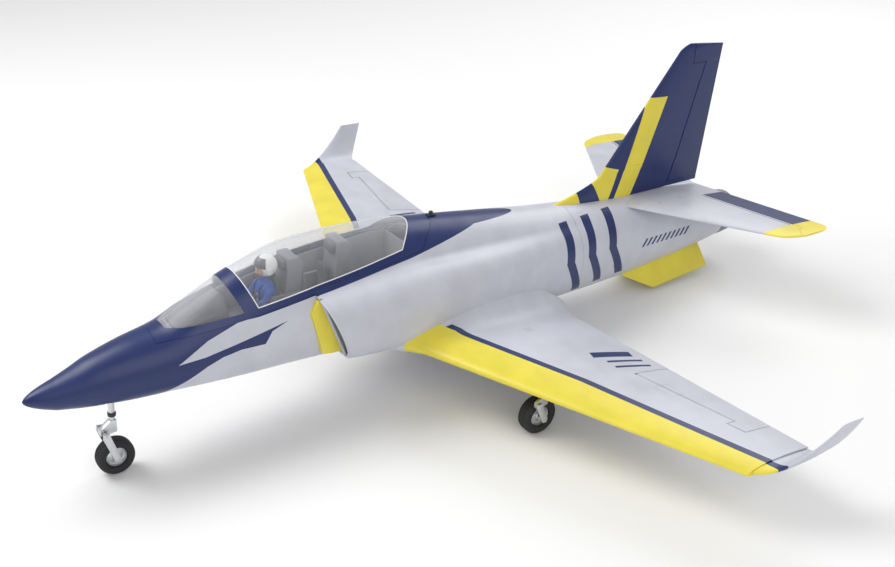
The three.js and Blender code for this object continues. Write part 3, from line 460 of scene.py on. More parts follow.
trunk_y = np.linspace(430, 1080, 131)
swing = np.radians(np.linspace(-78, 62, 141))
fine = np.linspace(-np.pi * 0.8, np.pi * 0.8, 400)
radii, bare = np.zeros((131, 141)), np.zeros((131, 141))
for k, row in enumerate(station(TRUNK, trunk_y)):
    ring = oval(row, fine, 0, TRUNK_SQUARE)
    turn = np.arctan2(ring[:, 2] - HUB_Z, ring[:, 0])
    rising = slice(np.argmin(turn), np.argmax(turn) + 1)
    reach = np.hypot(ring[:, 0], ring[:, 2] - HUB_Z)
    radii[k] = np.interp(swing, turn[rising], reach[rising], left=0, right=0)
    skin = body_point(trunk_y[k], np.linspace(-np.pi / 2, np.pi / 2, 300))
    turn = np.arctan2(skin[:, 2] - HUB_Z, skin[:, 0])
    bare[k] = np.interp(swing, turn, np.hypot(skin[:, 0], skin[:, 2] - HUB_Z))
lift = np.clip(0.5 + 0.5 * (radii - bare) / FILLET, 0, 1)
faired = bare + (radii - bare) * lift + FILLET * lift * (1 - lift)
start = np.full(141, 460.0)
columns = np.arange(141)
for _ in range(6):
    at = np.array([np.interp(start[c], trunk_y, faired[:, c]) for c in columns])
    start = lip_y(HUB_Z + at * np.sin(swing))
run = start + (1080 - start) * np.linspace(0, 1, 120)[:, None] ** 1.1
reach = np.stack([np.interp(run[:, c], trunk_y, faired[:, c]) for c in columns], axis=1)
plain = np.stack([np.interp(run[:, c], trunk_y, bare[:, c]) for c in columns], axis=1)
trunk = np.stack([reach * np.cos(swing), run, HUB_Z + reach * np.sin(swing)], axis=-1)
proud = reach > plain + 0.03
quads = grid_faces(120, 141, False)
kept = quads[proud.ravel()[quads].any(axis=1)]
MIRROR = np.array([-1, 1, 1])
SIDES = (("left", np.array([1, 1, 1])), ("right", MIRROR))
for side, flip in SIDES:
    made = piece(f"intake_trunk_{side}", [(trunk * flip, False)], 3, (0, HUB_Z), faces=kept.tolist())
    dress(made, fuselage_paint, "airframe", "foam_grey")

# ---- Intake lips and ducts ----
# The mouth is a D, flat beside the splitter plate, with a rolled lip; behind it a smooth dark duct
# narrows to an oval and turns in towards the fan.
SPLIT_X, LIP_WALL, LIP_ROLL = 85.6, 5.5, 3.2
DUCT = np.array([[492, 98.5, 17.5, 41, 44], [560, 95, 19, 38, 44], [640, 80, 24, 33, 44],
                 [730, 46, 24, 24, 44], [820, 22.9, 22.3, 20, 44.6]])


def even(loop, count=96):
    """A closed loop of points, respaced evenly along its length from its outermost point."""
    loop = np.roll(loop, -np.argmax(loop[:, 0]), axis=0)
    loop = np.vstack([loop, loop[:1]])
    length = np.concatenate([[0], np.cumsum(np.linalg.norm(np.diff(loop, axis=0), axis=1))])
    at = np.linspace(0, length[-1], count, endpoint=False)
    return np.stack([np.interp(at, length, loop[:, k]) for k in range(3)], axis=-1)


def mouth(y, inset):
    """The trunk's oval, cut off flat at the splitter plate."""
    ring = oval(station(TRUNK, y), np.linspace(0, 2 * np.pi, 400, endpoint=False), inset, TRUNK_SQUARE)
    ring[:, 0] = np.maximum(ring[:, 0], SPLIT_X + inset)
    return even(ring)


outer_ring, inner_ring = mouth(462, 0), mouth(475, LIP_WALL)
for ring in (outer_ring, inner_ring):
    ring[:, 1] = lip_y(ring[:, 2])
roll = np.linspace(-0.5 * np.pi, np.pi, 17)[:, None, None]
share = np.clip((1 - np.cos(np.maximum(roll, 0))) / 2, 0, 1)
forward = np.where(roll < 0, roll / np.pi * 6, np.sin(np.maximum(roll, 0)) * LIP_ROLL)
lip = outer_ring + (inner_ring - outer_ring) * share - np.array([0, 1, 0]) * forward
deep = [even(oval(row, np.linspace(0, 2 * np.pi, 400, endpoint=False), 1.2, 2.2))
        for row in station(DUCT, np.linspace(556, 812, 24))]
throat = [lip[-1] + (deep[0] - lip[-1]) * np.array([t * t * (3 - 2 * t), t, t * t * (3 - 2 * t)])
          for t in np.linspace(0, 1, 16)]
duct = np.stack([*throat, *deep[1:]])
coat = Coat("duct_plastic")
duct_plastic = coat.finish((0.30, 0.31, 0.33), 0.5, 0.2)
for side, flip in SIDES:
    dress(piece(f"intake_lip_{side}", [(lip * flip, True)]), fuselage_paint, "airframe", "foam_grey")
    made = piece(f"intake_duct_skin_{side}", [(duct * flip, True)], 1.2, (flip[0] * 90, 40))
    dress(made, duct_plastic, "airframe", "duct_dark", f"intake_duct_{side}")

# ---- Wells ----
# Openings for the folded wheels are cut from the finished foam skins with plain blocks.
BLOCK_FACES = [[0, 1, 3, 2], [4, 6, 7, 5], [0, 4, 5, 1], [2, 3, 7, 6], [0, 2, 6, 4], [1, 5, 7, 3]]


def carve(made, *blocks):
    """Cuts axis-aligned airframe blocks (low corner, high corner) out of a finished closed skin."""
    for low, high in blocks:
        corners = np.array([[x, y, z] for x in (0, 1) for y in (0, 1) for z in (0, 1)])
        spots = np.array(low) + corners * (np.array(high) - low)
        mesh = bpy.data.meshes.new("block")
        mesh.from_pydata(to_frame(spots), [], BLOCK_FACES)
        block = bpy.data.objects.new("block", mesh)
        bpy.context.scene.collection.objects.link(block)
        saw = made.modifiers.new("saw", "BOOLEAN")
        saw.operation, saw.solver, saw.object = "DIFFERENCE", "EXACT", block
        done = bpy.data.meshes.new_from_object(made.evaluated_get(bpy.context.evaluated_depsgraph_get()))
        made.modifiers.clear()
        bpy.data.objects.remove(block)
        made.data = done


NOSE_WELL = ([-28, 111, -60], [28, 293, 0])
carve(shell, NOSE_WELL)

# ---- Wing ----
# Solid foam over a carbon tube: a swept front edge, a washed-out tip, a swelling fillet at the root.
# The flap is let into the lower skin and the aileron closes the rear edge outboard of it.
WING_TIP, FLAP_SPAN, AILERON_SPAN, HORN_AT, HORN_DEPTH = 650, (150, 364), (369, 580), 549, 15
GROOVE, BEVEL = 0.8, np.tan(np.radians(62))


def mix(a, b, t):
    return a + (b - a) * t


def near_root(x, reach):
    return np.clip(1 - (x - 96) / reach, 0, 1) ** 2


def wing_lead(x):
    return 606 + 0.4 * (x - 150) - 24 * near_root(x, 50)


def wing_trail(x):
    return 923 + 0.024 * (x - 150) + 20 * near_root(x, 44)


def wing_mean(x, t):
    out = (x - 100) / 550
    return mix(mix(-14, -12, out), mix(-33, -8.5, out), t)


def half_thickness(t, ratio):
    """Half of a symmetrical aerofoil's thickness at fraction t of the chord."""
    return 5 * ratio * (0.2969 * np.sqrt(t) - 0.126 * t - 0.3516 * t**2 + 0.2843 * t**3 - 0.1036 * t**4)


def wing_point(x, t, face):
    """Point of the wing at span x, chord fraction t: face 1 is the upper skin, -1 the lower, 0 between."""
    x, t, face = np.broadcast_arrays(np.asarray(x, float), t, face)
    lead, chord = wing_lead(x), wing_trail(x) - wing_lead(x)
    half = chord * half_thickness(t, mix(0.125, 0.105, (x - 100) / 550)) + 0.7 * t
    line = wing_mean(x, t) + 0.012 * chord * 4 * t * (1 - t)
    rise = 56 * np.clip(1 - (x - 92) / 66, 0, 1) ** 2.3 * np.sin(np.pi * np.clip(t, 0, 1)) ** 0.75
    return np.stack([x, lead + t * chord, line + face * half + (face > 0) * rise], axis=-1)


def aileron_hinge(x):
    return mix(827, 888, (x - 250) / 300)


def flap_hinge(x):
    return mix(838, 862, (x - 150) / 214)


def chord_share(x, y):
    return (y - wing_lead(x)) / (wing_trail(x) - wing_lead(x))


def eased(count):
    """0 to 1, close together at both ends."""
    return (1 - np.cos(np.pi * np.linspace(0, 1, count))) / 2


def wing_row(x, zone):
    """One ring: the upper skin forwards, then the lower skin back to the flap's hinge and on to the rear."""
    rear = 1.0
    if zone == "aileron":
        rear = chord_share(x, aileron_hinge(x) - GROOVE)
    if zone == "horn":
        rear = chord_share(x, aileron_hinge(x) - HORN_DEPTH - 3 * GROOVE)
    split = min(chord_share(x, flap_hinge(min(max(x, FLAP_SPAN[0]), FLAP_SPAN[1])) - GROOVE), rear - 0.01)
    upper = wing_point(x, rear * eased(44)[::-1], 1)
    front = wing_point(x, split * eased(34)[1:], -1)
    t = np.linspace(split, rear, 14)
    back = wing_point(x, t, -1)
    if zone == "flap":
        back[:, 2] = wing_mean(x, t) - 0.2
    return np.concatenate([upper, front, back])


def spans(low, high, step, zone):
    return [(x, zone) for x in np.linspace(low, high, max(2, int((high - low) / step) + 1))]


wing_plan = (spans(50, 160, 4, "plain")[:25] + spans(FLAP_SPAN[0] - GROOVE, FLAP_SPAN[1] + GROOVE, 8, "flap")
             + spans(FLAP_SPAN[1] + GROOVE, AILERON_SPAN[0] - GROOVE, 8, "plain")
             + spans(AILERON_SPAN[0] - GROOVE, HORN_AT - GROOVE, 12, "aileron")
             + spans(HORN_AT - GROOVE, AILERON_SPAN[1] + GROOVE, 12, "horn")
             + spans(AILERON_SPAN[1] + GROOVE, WING_TIP, 12, "plain"))
wing_grid = np.stack([wing_row(x, zone) for x, zone in wing_plan])

# Pale grey with a yellow front edge, a navy pinstripe behind it, and two slanted navy bars inboard.
coat = Coat("wing_paint")
plan = (coat.side, coat.y)
band_rear = [(118, 646), (135, 664), (352, 750), (627, 836), (660, 846)]
yellow_edge = coat.both(coat.math("SUBTRACT", 1.0, coat.above(*plan, band_rear)),
                        coat.math("GREATER_THAN", coat.side, 112.0))
stripe_edge = coat.both(coat.math("SUBTRACT", 1.0, coat.above(*plan, [(u, v + 13) for u, v in band_rear])),
                        coat.math("GREATER_THAN", coat.side, 124.0))
bars = coat.either(coat.field(*plan, [(282, 830), (300, 824), (314, 900), (296, 906)]),
                   coat.field(*plan, [(316, 838), (322, 836), (334, 904), (328, 906)]),
                   coat.field(*plan, [(336, 838), (342, 836), (354, 904), (348, 906)]))
box_edges = [(416, 850), (452, 850), (452, 878), (416, 878)]
wing_grooves = [coat.groove(*plan, a, b, 0.8) for a, b in zip(box_edges, box_edges[1:] + box_edges[:1])]
wing_grooves += [coat.groove(*plan, (168, 780 + 6 * k), (184, 780 + 6 * k), 1.6) for k in range(3)]
wing_grooves += [coat.groove(*plan, (364.5, 862), (368, 945), 0.8)]
wing_paint = coat.paint(GREY, [(NAVY, stripe_edge), (YELLOW, yellow_edge), (NAVY, bars)], wing_grooves)
WHEEL_WELL, LEG_WELL = ([195.5, 693, -60], [268.5, 769, -5.5]), ([230, 710, -60], [322, 746, -5.5])
for side, flip in SIDES:
    made = piece(f"wing_skin_{side}", [(wing_grid * flip, True)], ends=True, sharp=40)
    for low, high in (WHEEL_WELL, LEG_WELL):
        carve(made, (np.minimum(low * flip, high * flip), np.maximum(low * flip, high * flip)))
    made.data.shade_smooth()
    made.data.set_sharp_from_angle(angle=np.radians(40))
    dress(made, wing_paint, "airframe", "foam_grey", f"wing_{side}")

# ---- Flaps and ailerons ----
# The flap is a thin wedge hinged on the lower skin. The aileron's nose is a bevel on the hinge line,
# with a small balance horn at its outer end. The pin lies a little under mid-depth, so the nose is
# set back by what it swings forward, and the ends are eased off the wing.
EASE, NOSE_BACK = 0.5, 1.4
flap_rows = []
for x in np.linspace(*FLAP_SPAN, 20):
    t = np.linspace(chord_share(x, flap_hinge(x)), 1, 18)
    lower = wing_point(x, t, -1)
    upper = lower.copy()
    upper[:, 2] = np.maximum(wing_mean(x, t) - 0.6, lower[:, 2] + 0.5)
    flap_rows.append(np.concatenate([upper[::-1], lower]))
flap_grid = np.stack(flap_rows)


def control_row(point, s, hinge, bevel, horn):
    """Ring of a hinged surface: upper skin forwards to the bevel, the nose, and the lower skin back."""
    front = horn if horn is not None else bevel
    nose = horn if horn is not None else hinge
    t = mix(front, 1.0, eased(20))
    return np.concatenate([point(s, t[::-1], 1), point(s, np.array([nose]), 0), point(s, t, -1)])


def aileron_row(x, horned):
    hinge = chord_share(x, aileron_hinge(x))
    depth = wing_point(x, hinge, 1)[2] - wing_point(x, hinge, -1)[2]
    chord = wing_trail(x) - wing_lead(x)
    bevel = hinge + (depth / 2 / BEVEL + EASE) / chord
    horn = hinge - HORN_DEPTH / chord if horned else None
    return control_row(wing_point, x, hinge + NOSE_BACK / chord, bevel, horn)


aileron_rows = [aileron_row(x, False) for x in np.linspace(AILERON_SPAN[0] + EASE, HORN_AT + EASE, 18)]
aileron_rows += [aileron_row(x, True) for x in np.linspace(HORN_AT + EASE, AILERON_SPAN[1] - EASE, 6)]
aileron_grid = np.stack(aileron_rows)
for side, flip in SIDES:
    for name, grid in (("flap", flap_grid), ("aileron", aileron_grid)):
        made = piece(f"{name}_skin_{side}", [(grid * flip, True)], ends=True, sharp=30)
        dress(made, wing_paint, f"{name}_{side}", "foam_grey", f"{name}_{side}")

# ---- Winglets ----
# A swept blade that curls up and outward from the raked tip.
rise = np.linspace(0, 1, 40)[:, None] ** 1.2
loop = np.concatenate([eased(30)[::-1], eased(30)[1:]])
face = np.concatenate([np.ones(30), -np.ones(29)])
lead, trail = mix(815, 928, rise**0.8), mix(934.5, 976, rise)
offset = face * ((trail - lead) * half_thickness(loop, mix(0.1, 0.07, rise)) + 0.6 * loop)
lean = np.radians(68)
stand = np.minimum(1, rise * 2.2)
winglet_grid = np.stack([
    mix(WING_TIP + 0.4, 699.8, rise**0.55) - offset * np.sin(lean) * np.minimum(1, rise * 2.2 + 0.04),
    lead + loop * (trail - lead),
    mix(-10.5, 58, rise**1.5) + offset * mix(1, np.cos(lean), stand),
], axis=-1)
for side, flip in SIDES:
    made = piece(f"winglet_skin_{side}", [(winglet_grid * flip, True)], ends=True, sharp=45)
    dress(made, wing_paint, "airframe", "foam_grey", f"winglet_{side}")

# ---- Stabilisers and elevators ----
# Two thin foam halves screwed to a carbon tube; each elevator carries the rounded tip as its horn.
STAB_Z, STAB_TIP, ELEVATOR_FROM, TIP_HORN = 100, 290, 63, 266


def stab_lead(x):
    swept = mix(1124, 1275, (np.minimum(x, 270) - 30) / 240)
    return swept + 44 * np.maximum(0, (x - 262) / 28) ** 2.4


def stab_trail(x):
    return 1332.5 + 0.2326 * x - 22 * np.maximum(0, (x - 262) / 28) ** 4


def stab_hinge(x):
    return 1280 + 0.238 * x


def stab_point(x, t, face):
    x, t, face = np.broadcast_arrays(np.asarray(x, float), t, face)
    lead, chord = stab_lead(x), stab_trail(x) - stab_lead(x)
    half = chord * half_thickness(t, 0.075 * mix(1, 0.8, x / 290)) + 0.7 * t
    return np.stack([x, lead + t * chord, STAB_Z + 0.01 * x + face * half], axis=-1)


def fixed_row(point, s, rear):
    t = rear * eased(30)
    return np.concatenate([point(s, t[::-1], 1), point(s, t[1:], -1)])


def stab_share(x, y):
    return (y - stab_lead(x)) / (stab_trail(x) - stab_lead(x))


stab_rows = [fixed_row(stab_point, x, 1.0) for x in np.linspace(0.2, ELEVATOR_FROM - GROOVE, 8)]
stab_rows += [fixed_row(stab_point, x, stab_share(x, stab_hinge(x) - GROOVE))
              for x in np.linspace(ELEVATOR_FROM - GROOVE, TIP_HORN - GROOVE, 24)]
horn_y = stab_hinge(TIP_HORN)
stab_rows += [fixed_row(stab_point, x, max(stab_share(x, horn_y - 9 - GROOVE - 0.75 * (x - TIP_HORN)), 0.01))
              for x in np.linspace(TIP_HORN - GROOVE + 2, STAB_TIP, 8)]
stab_grid = np.stack(stab_rows)


def elevator_row(x, horned):
    hinge, chord = stab_share(x, stab_hinge(x)), stab_trail(x) - stab_lead(x)
    depth = np.ptp(stab_point(x, hinge, np.array([1, -1]))[:, 2])
    horn = max(stab_share(x, horn_y - 9 - 0.75 * (x - TIP_HORN)), 0.005) if horned else None
    return control_row(stab_point, x, hinge, hinge + depth / 2 / BEVEL / chord, horn)


elevator_grid = np.stack([elevator_row(x, False) for x in np.linspace(ELEVATOR_FROM, TIP_HORN, 24)]
                         + [elevator_row(x, True) for x in np.linspace(TIP_HORN + 2, STAB_TIP, 10)])
coat = Coat("tail_paint")
plan = (coat.side, coat.y)
tips = coat.math("GREATER_THAN", coat.side, 247.0)
pin = coat.groove(*plan, (64, 1289), (246, 1332.5), 2.2)
spots = []
for screw_y in (1182, 1236):
    off = [coat.math("SUBTRACT", value, float(mark)) for value, mark in ((coat.side, 58), (coat.y, screw_y))]
    square = coat.math("ADD", coat.math("MULTIPLY", off[0], off[0]), coat.math("MULTIPLY", off[1], off[1]))
    spots.append(coat.math("LESS_THAN", square, 5.0))
stab_paint = coat.paint(GREY, [(NAVY, pin), (YELLOW, tips)], spots)
coat = Coat("elevator_paint")
elevator_paint = coat.paint(NAVY, [(YELLOW, coat.math("GREATER_THAN", coat.side, 247.0))])
for side, flip in SIDES:
    made = piece(f"stabiliser_skin_{side}", [(stab_grid * flip, True)], ends=True, sharp=40)
    dress(made, stab_paint, "airframe", "foam_grey", f"stabiliser_{side}")
    made = piece(f"elevator_skin_{side}", [(elevator_grid * flip, True)], ends=True, sharp=30)
    dress(made, elevator_paint, f"elevator_{side}", "foam_navy", f"elevator_{side}")

# ---- Fin and rudder ----
# One foam blade with a long dorsal fairing that sweeps down onto the spine; the rudder hangs on a
# full-height hinge below a balance horn.
FIN_FOOT, FIN_KINK, RUDDER_FOOT, RUDDER_HORN = 110, 163, 119, 352


def fin_lead(z):
    low = np.clip((FIN_KINK - z) / 53, 0, 1)
    return np.where(z < FIN_KINK, 1077 - 145 * low**1.7 - 16 * low, mix(1077, 1247, (z - 163) / 224)) \
        + 14 * np.maximum(0, (z - 376) / 14) ** 2


def fin_trail(z):
    return mix(1333, 1351, (z - 109) / 271)


def fin_hinge(z):
    return mix(1251, 1309, (z - 122) / 230)


def fin_point(z, t, face):
    z, t, face = np.broadcast_arrays(np.asarray(z, float), t, face)
    lead, chord = fin_lead(z), fin_trail(z) - fin_lead(z)
    ratio = mix(0.062, 0.07, (z - 110) / 270) * np.where(z < FIN_KINK, 14.5 / (0.062 * chord), 1)
    half = (chord * half_thickness(t, ratio) + 0.6 * t) * np.where(z > 385, 0.7, 1)
    y = lead + t * chord
    top = np.interp(y, [1262, 1345, 1400], [389.9, 382.9, 377.9])
    return np.stack([face * half, y, np.minimum(z, top)], axis=-1)


def fin_share(z, y):
    return (y - fin_lead(z)) / (fin_trail(z) - fin_lead(z))


def rudder_front(z):
    return fin_hinge(z) if z < RUDDER_HORN else mix(fin_hinge(RUDDER_HORN) - 34, 1277, (z - 357) / 43)


low_z = np.linspace(FIN_FOOT, RUDDER_FOOT - GROOVE, 6)
mid_z = np.linspace(RUDDER_FOOT - GROOVE, RUDDER_HORN - GROOVE, 60)
high_z = np.concatenate([np.linspace(RUDDER_HORN - GROOVE, 376, 6), np.linspace(377, 390, 8)])
HORN_GAP = 1.2
fin_rows = [fixed_row(fin_point, z, 1.0) for z in low_z]
fin_rows += [fixed_row(fin_point, z, fin_share(z, fin_hinge(z) - GROOVE)) for z in mid_z]
fin_rows += [fixed_row(fin_point, z, fin_share(z, rudder_front(max(z, RUDDER_HORN + 0.1)) - HORN_GAP))
             for z in high_z]
fin_grid = np.stack(fin_rows)


def rudder_row(z):
    hinge, chord = fin_share(z, fin_hinge(z)), fin_trail(z) - fin_lead(z)
    depth = np.ptp(fin_point(z, hinge, np.array([1, -1]))[:, 0])
    horn = fin_share(z, rudder_front(z)) if z >= RUDDER_HORN else None
    return control_row(fin_point, z, hinge, hinge + depth / 2 / BEVEL / chord, horn)


rudder_z = [*np.linspace(RUDDER_FOOT, RUDDER_HORN - 0.01, 40), *np.linspace(RUDDER_HORN, 390, 12)]
rudder_grid = np.stack([rudder_row(z) for z in rudder_z])
coat = Coat("fin_paint")
side_on = (coat.y, coat.z)
dorsal = coat.field(*side_on, [(920, 95), (1032, 95), (1028, 112), (1016, 150), (920, 150)])
patch = coat.field(*side_on, [(1084, 97), (1092, 97), (1115, 168), (1070, 180), (1051, 158)])
slash = coat.field(*side_on, [(1106, 95), (1148, 95), (1218, 296), (1172, 297)])
fin_grooves = [coat.groove(*side_on, (1150, 170), (1262, 170), 0.7)]
fin_paint = coat.paint(NAVY, [(YELLOW, coat.either(dorsal, patch, slash))], fin_grooves)
made = piece("fin_skin", [(fin_grid, True)], ends=True, sharp=40)
dress(made, fin_paint, "airframe", "foam_navy", "fin")
made = piece("rudder_skin", [(rudder_grid, True)], ends=True, sharp=30)
dress(made, fin_paint, "rudder", "foam_navy", "rudder")

# ---- Ventral fins ----
# Flat yellow blades with rounded edges, canted out 28 degrees under the tail.
CANT = np.radians(28)
outline = np.array([[1122, 0], [1340, 0], [1351, -53], [1206, -55]])
blade = []
for half in (-2, 2):
    blade.append(np.stack([26 - outline[:, 1] * np.sin(CANT) + half * np.cos(CANT), outline[:, 0],
                           mix(-40, -18, (outline[:, 0] - 1122) / 226) + outline[:, 1] * np.cos(CANT)
                           + half * np.sin(CANT)], axis=-1))
coat = Coat("yellow_paint")
yellow_paint = coat.paint(YELLOW, [])
for side, flip in SIDES:
    made = piece(f"ventral_skin_{side}", [(np.stack(blade) * flip, True)], ends=True, bevel=1.6, sharp=50)
    dress(made, yellow_paint, "airframe", "foam_yellow", f"ventral_fin_{side}")
    frame["nodes"][f"intake_splitter_{side}"].data.materials.clear()
    frame["nodes"][f"intake_splitter_{side}"].data.materials.append(yellow_paint)

# ---- Hatch frame ----
# A thin moulded frame that lifts out with the canopy: a cowl ahead of the windshield, two rails, a
# leaning arch between the two panes, and a strip behind them whose edges bow aft over the spine.
SEAM, FRAME_WALL, ARCH_LEAN, CANOPY_REAR = 0.4, 3, 0.38, 643
SCREEN_BASE = np.array([[212, 74], [250, 78.5], [324, 90.5]])
CANOPY_BASE = np.array([[346, 94.5], [445, 112], [560, 127], [660, 139]])


def edge_angle(base):
    """The angle on the skin of a lower edge that is given as heights against y."""
    return lambda y: back_angle(y, np.interp(y, base[:, 0], base[:, 1]))


screen_angle = edge_angle(SCREEN_BASE)
canopy_angle = edge_angle(CANOPY_BASE)
rail_angle = edge_angle(SILL + [0, SEAM])


def leaning(foot, s, low_angle):
    """Where the arch's plane, which leans forward above its foot (y, z), crosses the skin at s."""
    y = np.full_like(s, float(foot[0]))
    for _ in range(12):
        y = foot[0] - ARCH_LEAN * np.maximum(across(y, s, low_angle(y))[..., 2] - foot[1], 0)
    return y


def over(y, s, low_angle):
    return across(y, s, low_angle(y))


ramp = np.linspace(0, 1, 11)[:, None]
rise = np.linspace(0, 1, 9)
arch_front, arch_rear = (leaning(foot, s_back, rail_angle) for foot in (SCREEN_BASE[-1], CANOPY_BASE[0]))
glass_rear = bowed(CANOPY_REAR, s_back, canopy_angle)
strip_rear = edge - SEAM
corner = float(glass_rear[0])
cowl = over(np.linspace(HATCH_FRONT + SEAM, SCREEN_BASE[0, 0], 9)[:, None] + 0 * s_back, s_back, rail_angle)
arch = over(mix(arch_front, arch_rear, ramp), s_back, rail_angle)
strip_y = mix(glass_rear, strip_rear, ramp)
strip = across(strip_y, s_back, mix(canopy_angle(strip_y), rail_angle(strip_y), ramp))
rail_front = np.linspace(SCREEN_BASE[0, 0], SCREEN_BASE[-1, 0], 40)[:, None] + 0 * rise
rail_rear = mix(CANOPY_BASE[0, 0], mix(strip_rear[0], corner, rise), np.linspace(0, 1, 70)[:, None])
rails = [body_point(y, mix(rail_angle(y), pane(y), rise)) for y, pane in ((rail_front, screen_angle),
                                                                         (rail_rear, canopy_angle))]
coat = Coat("hatch_paint")
cowl_line = coat.groove(coat.x, coat.y, (-60, 206), (60, 206), 0.9)
hatch_paint = coat.paint(NAVY, [], [cowl_line], 0.3)
skins = [cowl, arch, strip, *rails, *(rail * MIRROR for rail in rails)]
made = piece("hatch_frame_skin", [(skin, False) for skin in skins], FRAME_WALL, (0, 40), sharp=40)
dress(made, hatch_paint, "hatch", "foam_navy", "hatch_frame")

# ---- Windshield and canopy ----
# Two vacuum-formed clear shells, 1.6 mm thick, glued inside the frame. A white bead of trim hides
# the glue line around the canopy.
GLASS_WALL, GLASS_INSET, BEAD = 1.6, 0.996, 0.9
s_glass = s_back * GLASS_INSET
screen_rear = leaning(SCREEN_BASE[-1], s_glass, screen_angle)
canopy_front = leaning(CANOPY_BASE[0], s_glass, canopy_angle)
canopy_rear = bowed(CANOPY_REAR - SEAM, s_glass, canopy_angle)
screen_y = mix(SCREEN_BASE[0, 0] + SEAM, screen_rear - SEAM, np.linspace(0, 1, 60)[:, None])
screen = over(screen_y, s_glass, screen_angle)
bubble_y = mix(canopy_front + SEAM, canopy_rear, np.linspace(0, 1, 120)[:, None])
bubble = over(bubble_y, s_glass, canopy_angle)
coat = Coat("clear_sheet")
veil = coat.tree.nodes.new("ShaderNodeLayerWeight")
veil.inputs["Blend"].default_value = 0.30
haze = coat.spread(coat.noise(0.02), 0.05, 0.08)
coat.link(coat.math("MULTIPLY_ADD", veil.outputs["Facing"], 0.42, haze), coat.shader.inputs["Alpha"])
clear_sheet = coat.finish((0.86, 0.88, 0.93), 0.08, wear=0.02)
PANES = (("windshield_pane", screen, "windshield"), ("canopy_bubble", bubble, "canopy_glass"))
for name, sheet, node in PANES:
    made = piece(name, [(sheet, False)], GLASS_WALL, (0, 40))
    dress(made, clear_sheet, "hatch", "clear_glazing", node)


def tube(route, radius, sides=12, squash=1.0):
    """A bar along a route: rings square to the route's direction, of one radius or a radius per point."""
    route = np.asarray(route, float)
    ahead = np.gradient(route, axis=0)
    ahead /= np.linalg.norm(ahead, axis=1, keepdims=True)
    side = np.cross(ahead, [0.32, 0.17, 0.93])
    side /= np.linalg.norm(side, axis=1, keepdims=True)
    up = np.cross(side, ahead)
    angle = np.linspace(0, 2 * np.pi, sides, endpoint=False)[None, :, None]
    radius = np.broadcast_to(radius, len(route))[:, None, None]
    return route[:, None] + radius * (np.cos(angle) * side[:, None] + squash * np.sin(angle) * up[:, None])


def smooth(points, count):
    """A smooth curve through points, spaced evenly by number."""
    points = np.asarray(points, float)
    table = np.column_stack([np.arange(len(points)), points])
    return station(table, np.linspace(0, len(points) - 1, count))[:, 1:]


coat = Coat("white_trim")
white_trim = coat.finish((0.80, 0.80, 0.80), 0.4, 0.15)
edges = (bubble[:, 0], bubble[:, -1], bubble[0], bubble[-1])
beads = [(tube(route - [0, 0, 0.2], BEAD, 8), True) for route in edges]
made = piece("canopy_trim", beads, ends=True)
dress(made, white_trim, "hatch", "foam_grey")

# ---- Cockpit tub, coaming and seats ----
# The tub is a vacuum-formed grey liner; the coaming and the two ejection seats are light mouldings
# glued into it, with edges eased by the mould.
BODY_OF = {node: body for body, nodes in frame["record"]["behaviour"]["bodies"].items() for node in nodes}


def eased_copy(name, node, width, sharp=30):
    """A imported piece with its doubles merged, its flat faces joined and its edges rounded."""
    mesh = bpy.data.meshes.new(name)
    work = bmesh.new()
    work.from_mesh(frame["nodes"][node].data)
    bmesh.ops.remove_doubles(work, verts=work.verts, dist=1e-5)
    bmesh.ops.dissolve_limit(work, angle_limit=np.radians(2), verts=work.verts, edges=work.edges)
    work.to_mesh(mesh)
    work.free()
    return settle(name, mesh, bevel=width, sharp=sharp)


coat = Coat("cockpit_plastic")
cockpit_plastic = coat.finish((0.27, 0.27, 0.29), 0.55, 0.4)
coat = Coat("coaming_plastic")
coaming_plastic = coat.finish((0.13, 0.13, 0.145), 0.62, 0.5)
coat = Coat("seat_plastic")
seat_plastic = coat.finish((0.20, 0.20, 0.22), 0.5, 0.4)
MOULDINGS = (("tub_liner", "cockpit_tub", 0.5, cockpit_plastic, "cockpit_grey"),
             ("coaming_cover", "instrument_coaming", 1.5, coaming_plastic, "coaming_dark"),
             ("front_seat_shell", "pilot_seat", 1.6, seat_plastic, "cockpit_grey"),
             ("rear_seat_shell", "rear_seat", 1.6, seat_plastic, "cockpit_grey"))
for name, node, width, look, slot in MOULDINGS:
    dress(eased_copy(name, node, width), look, "hatch", slot, node)


def pad(centre, half, power=4):
    """A superellipsoid cushion: each half-size times a signed power of the sphere's sines."""
    lift = np.linspace(-np.pi / 2, np.pi / 2, 17)[:, None]
    round_it = np.linspace(0, 2 * np.pi, 32, endpoint=False)
    shape = np.stack([signed_power(np.cos(lift), 2 / power) * signed_power(np.cos(round_it), 2 / power),
                      signed_power(np.cos(lift), 2 / power) * signed_power(np.sin(round_it), 2 / power),
                      signed_power(np.sin(lift), 2 / power) + 0 * round_it], axis=-1)
    return np.array(centre) + shape * half


coat = Coat("seat_cloth")
seat_cloth = coat.finish((0.10, 0.105, 0.115), 0.85, 0.6)
for name, y, height in (("front", 404, 143), ("rear", 492, 153)):
    cushions = [pad((0, y + 10.5, height - 12), (15, 5, 9)), pad((0, y - 1.5, 92), (15, 4, 22)),
                pad((0, y - 17, 61), (17, 16, 3))]
    made = piece(f"{name}_seat_cushions", [(cushion, True) for cushion in cushions])
    dress(made, seat_cloth, "hatch", "cockpit_grey")

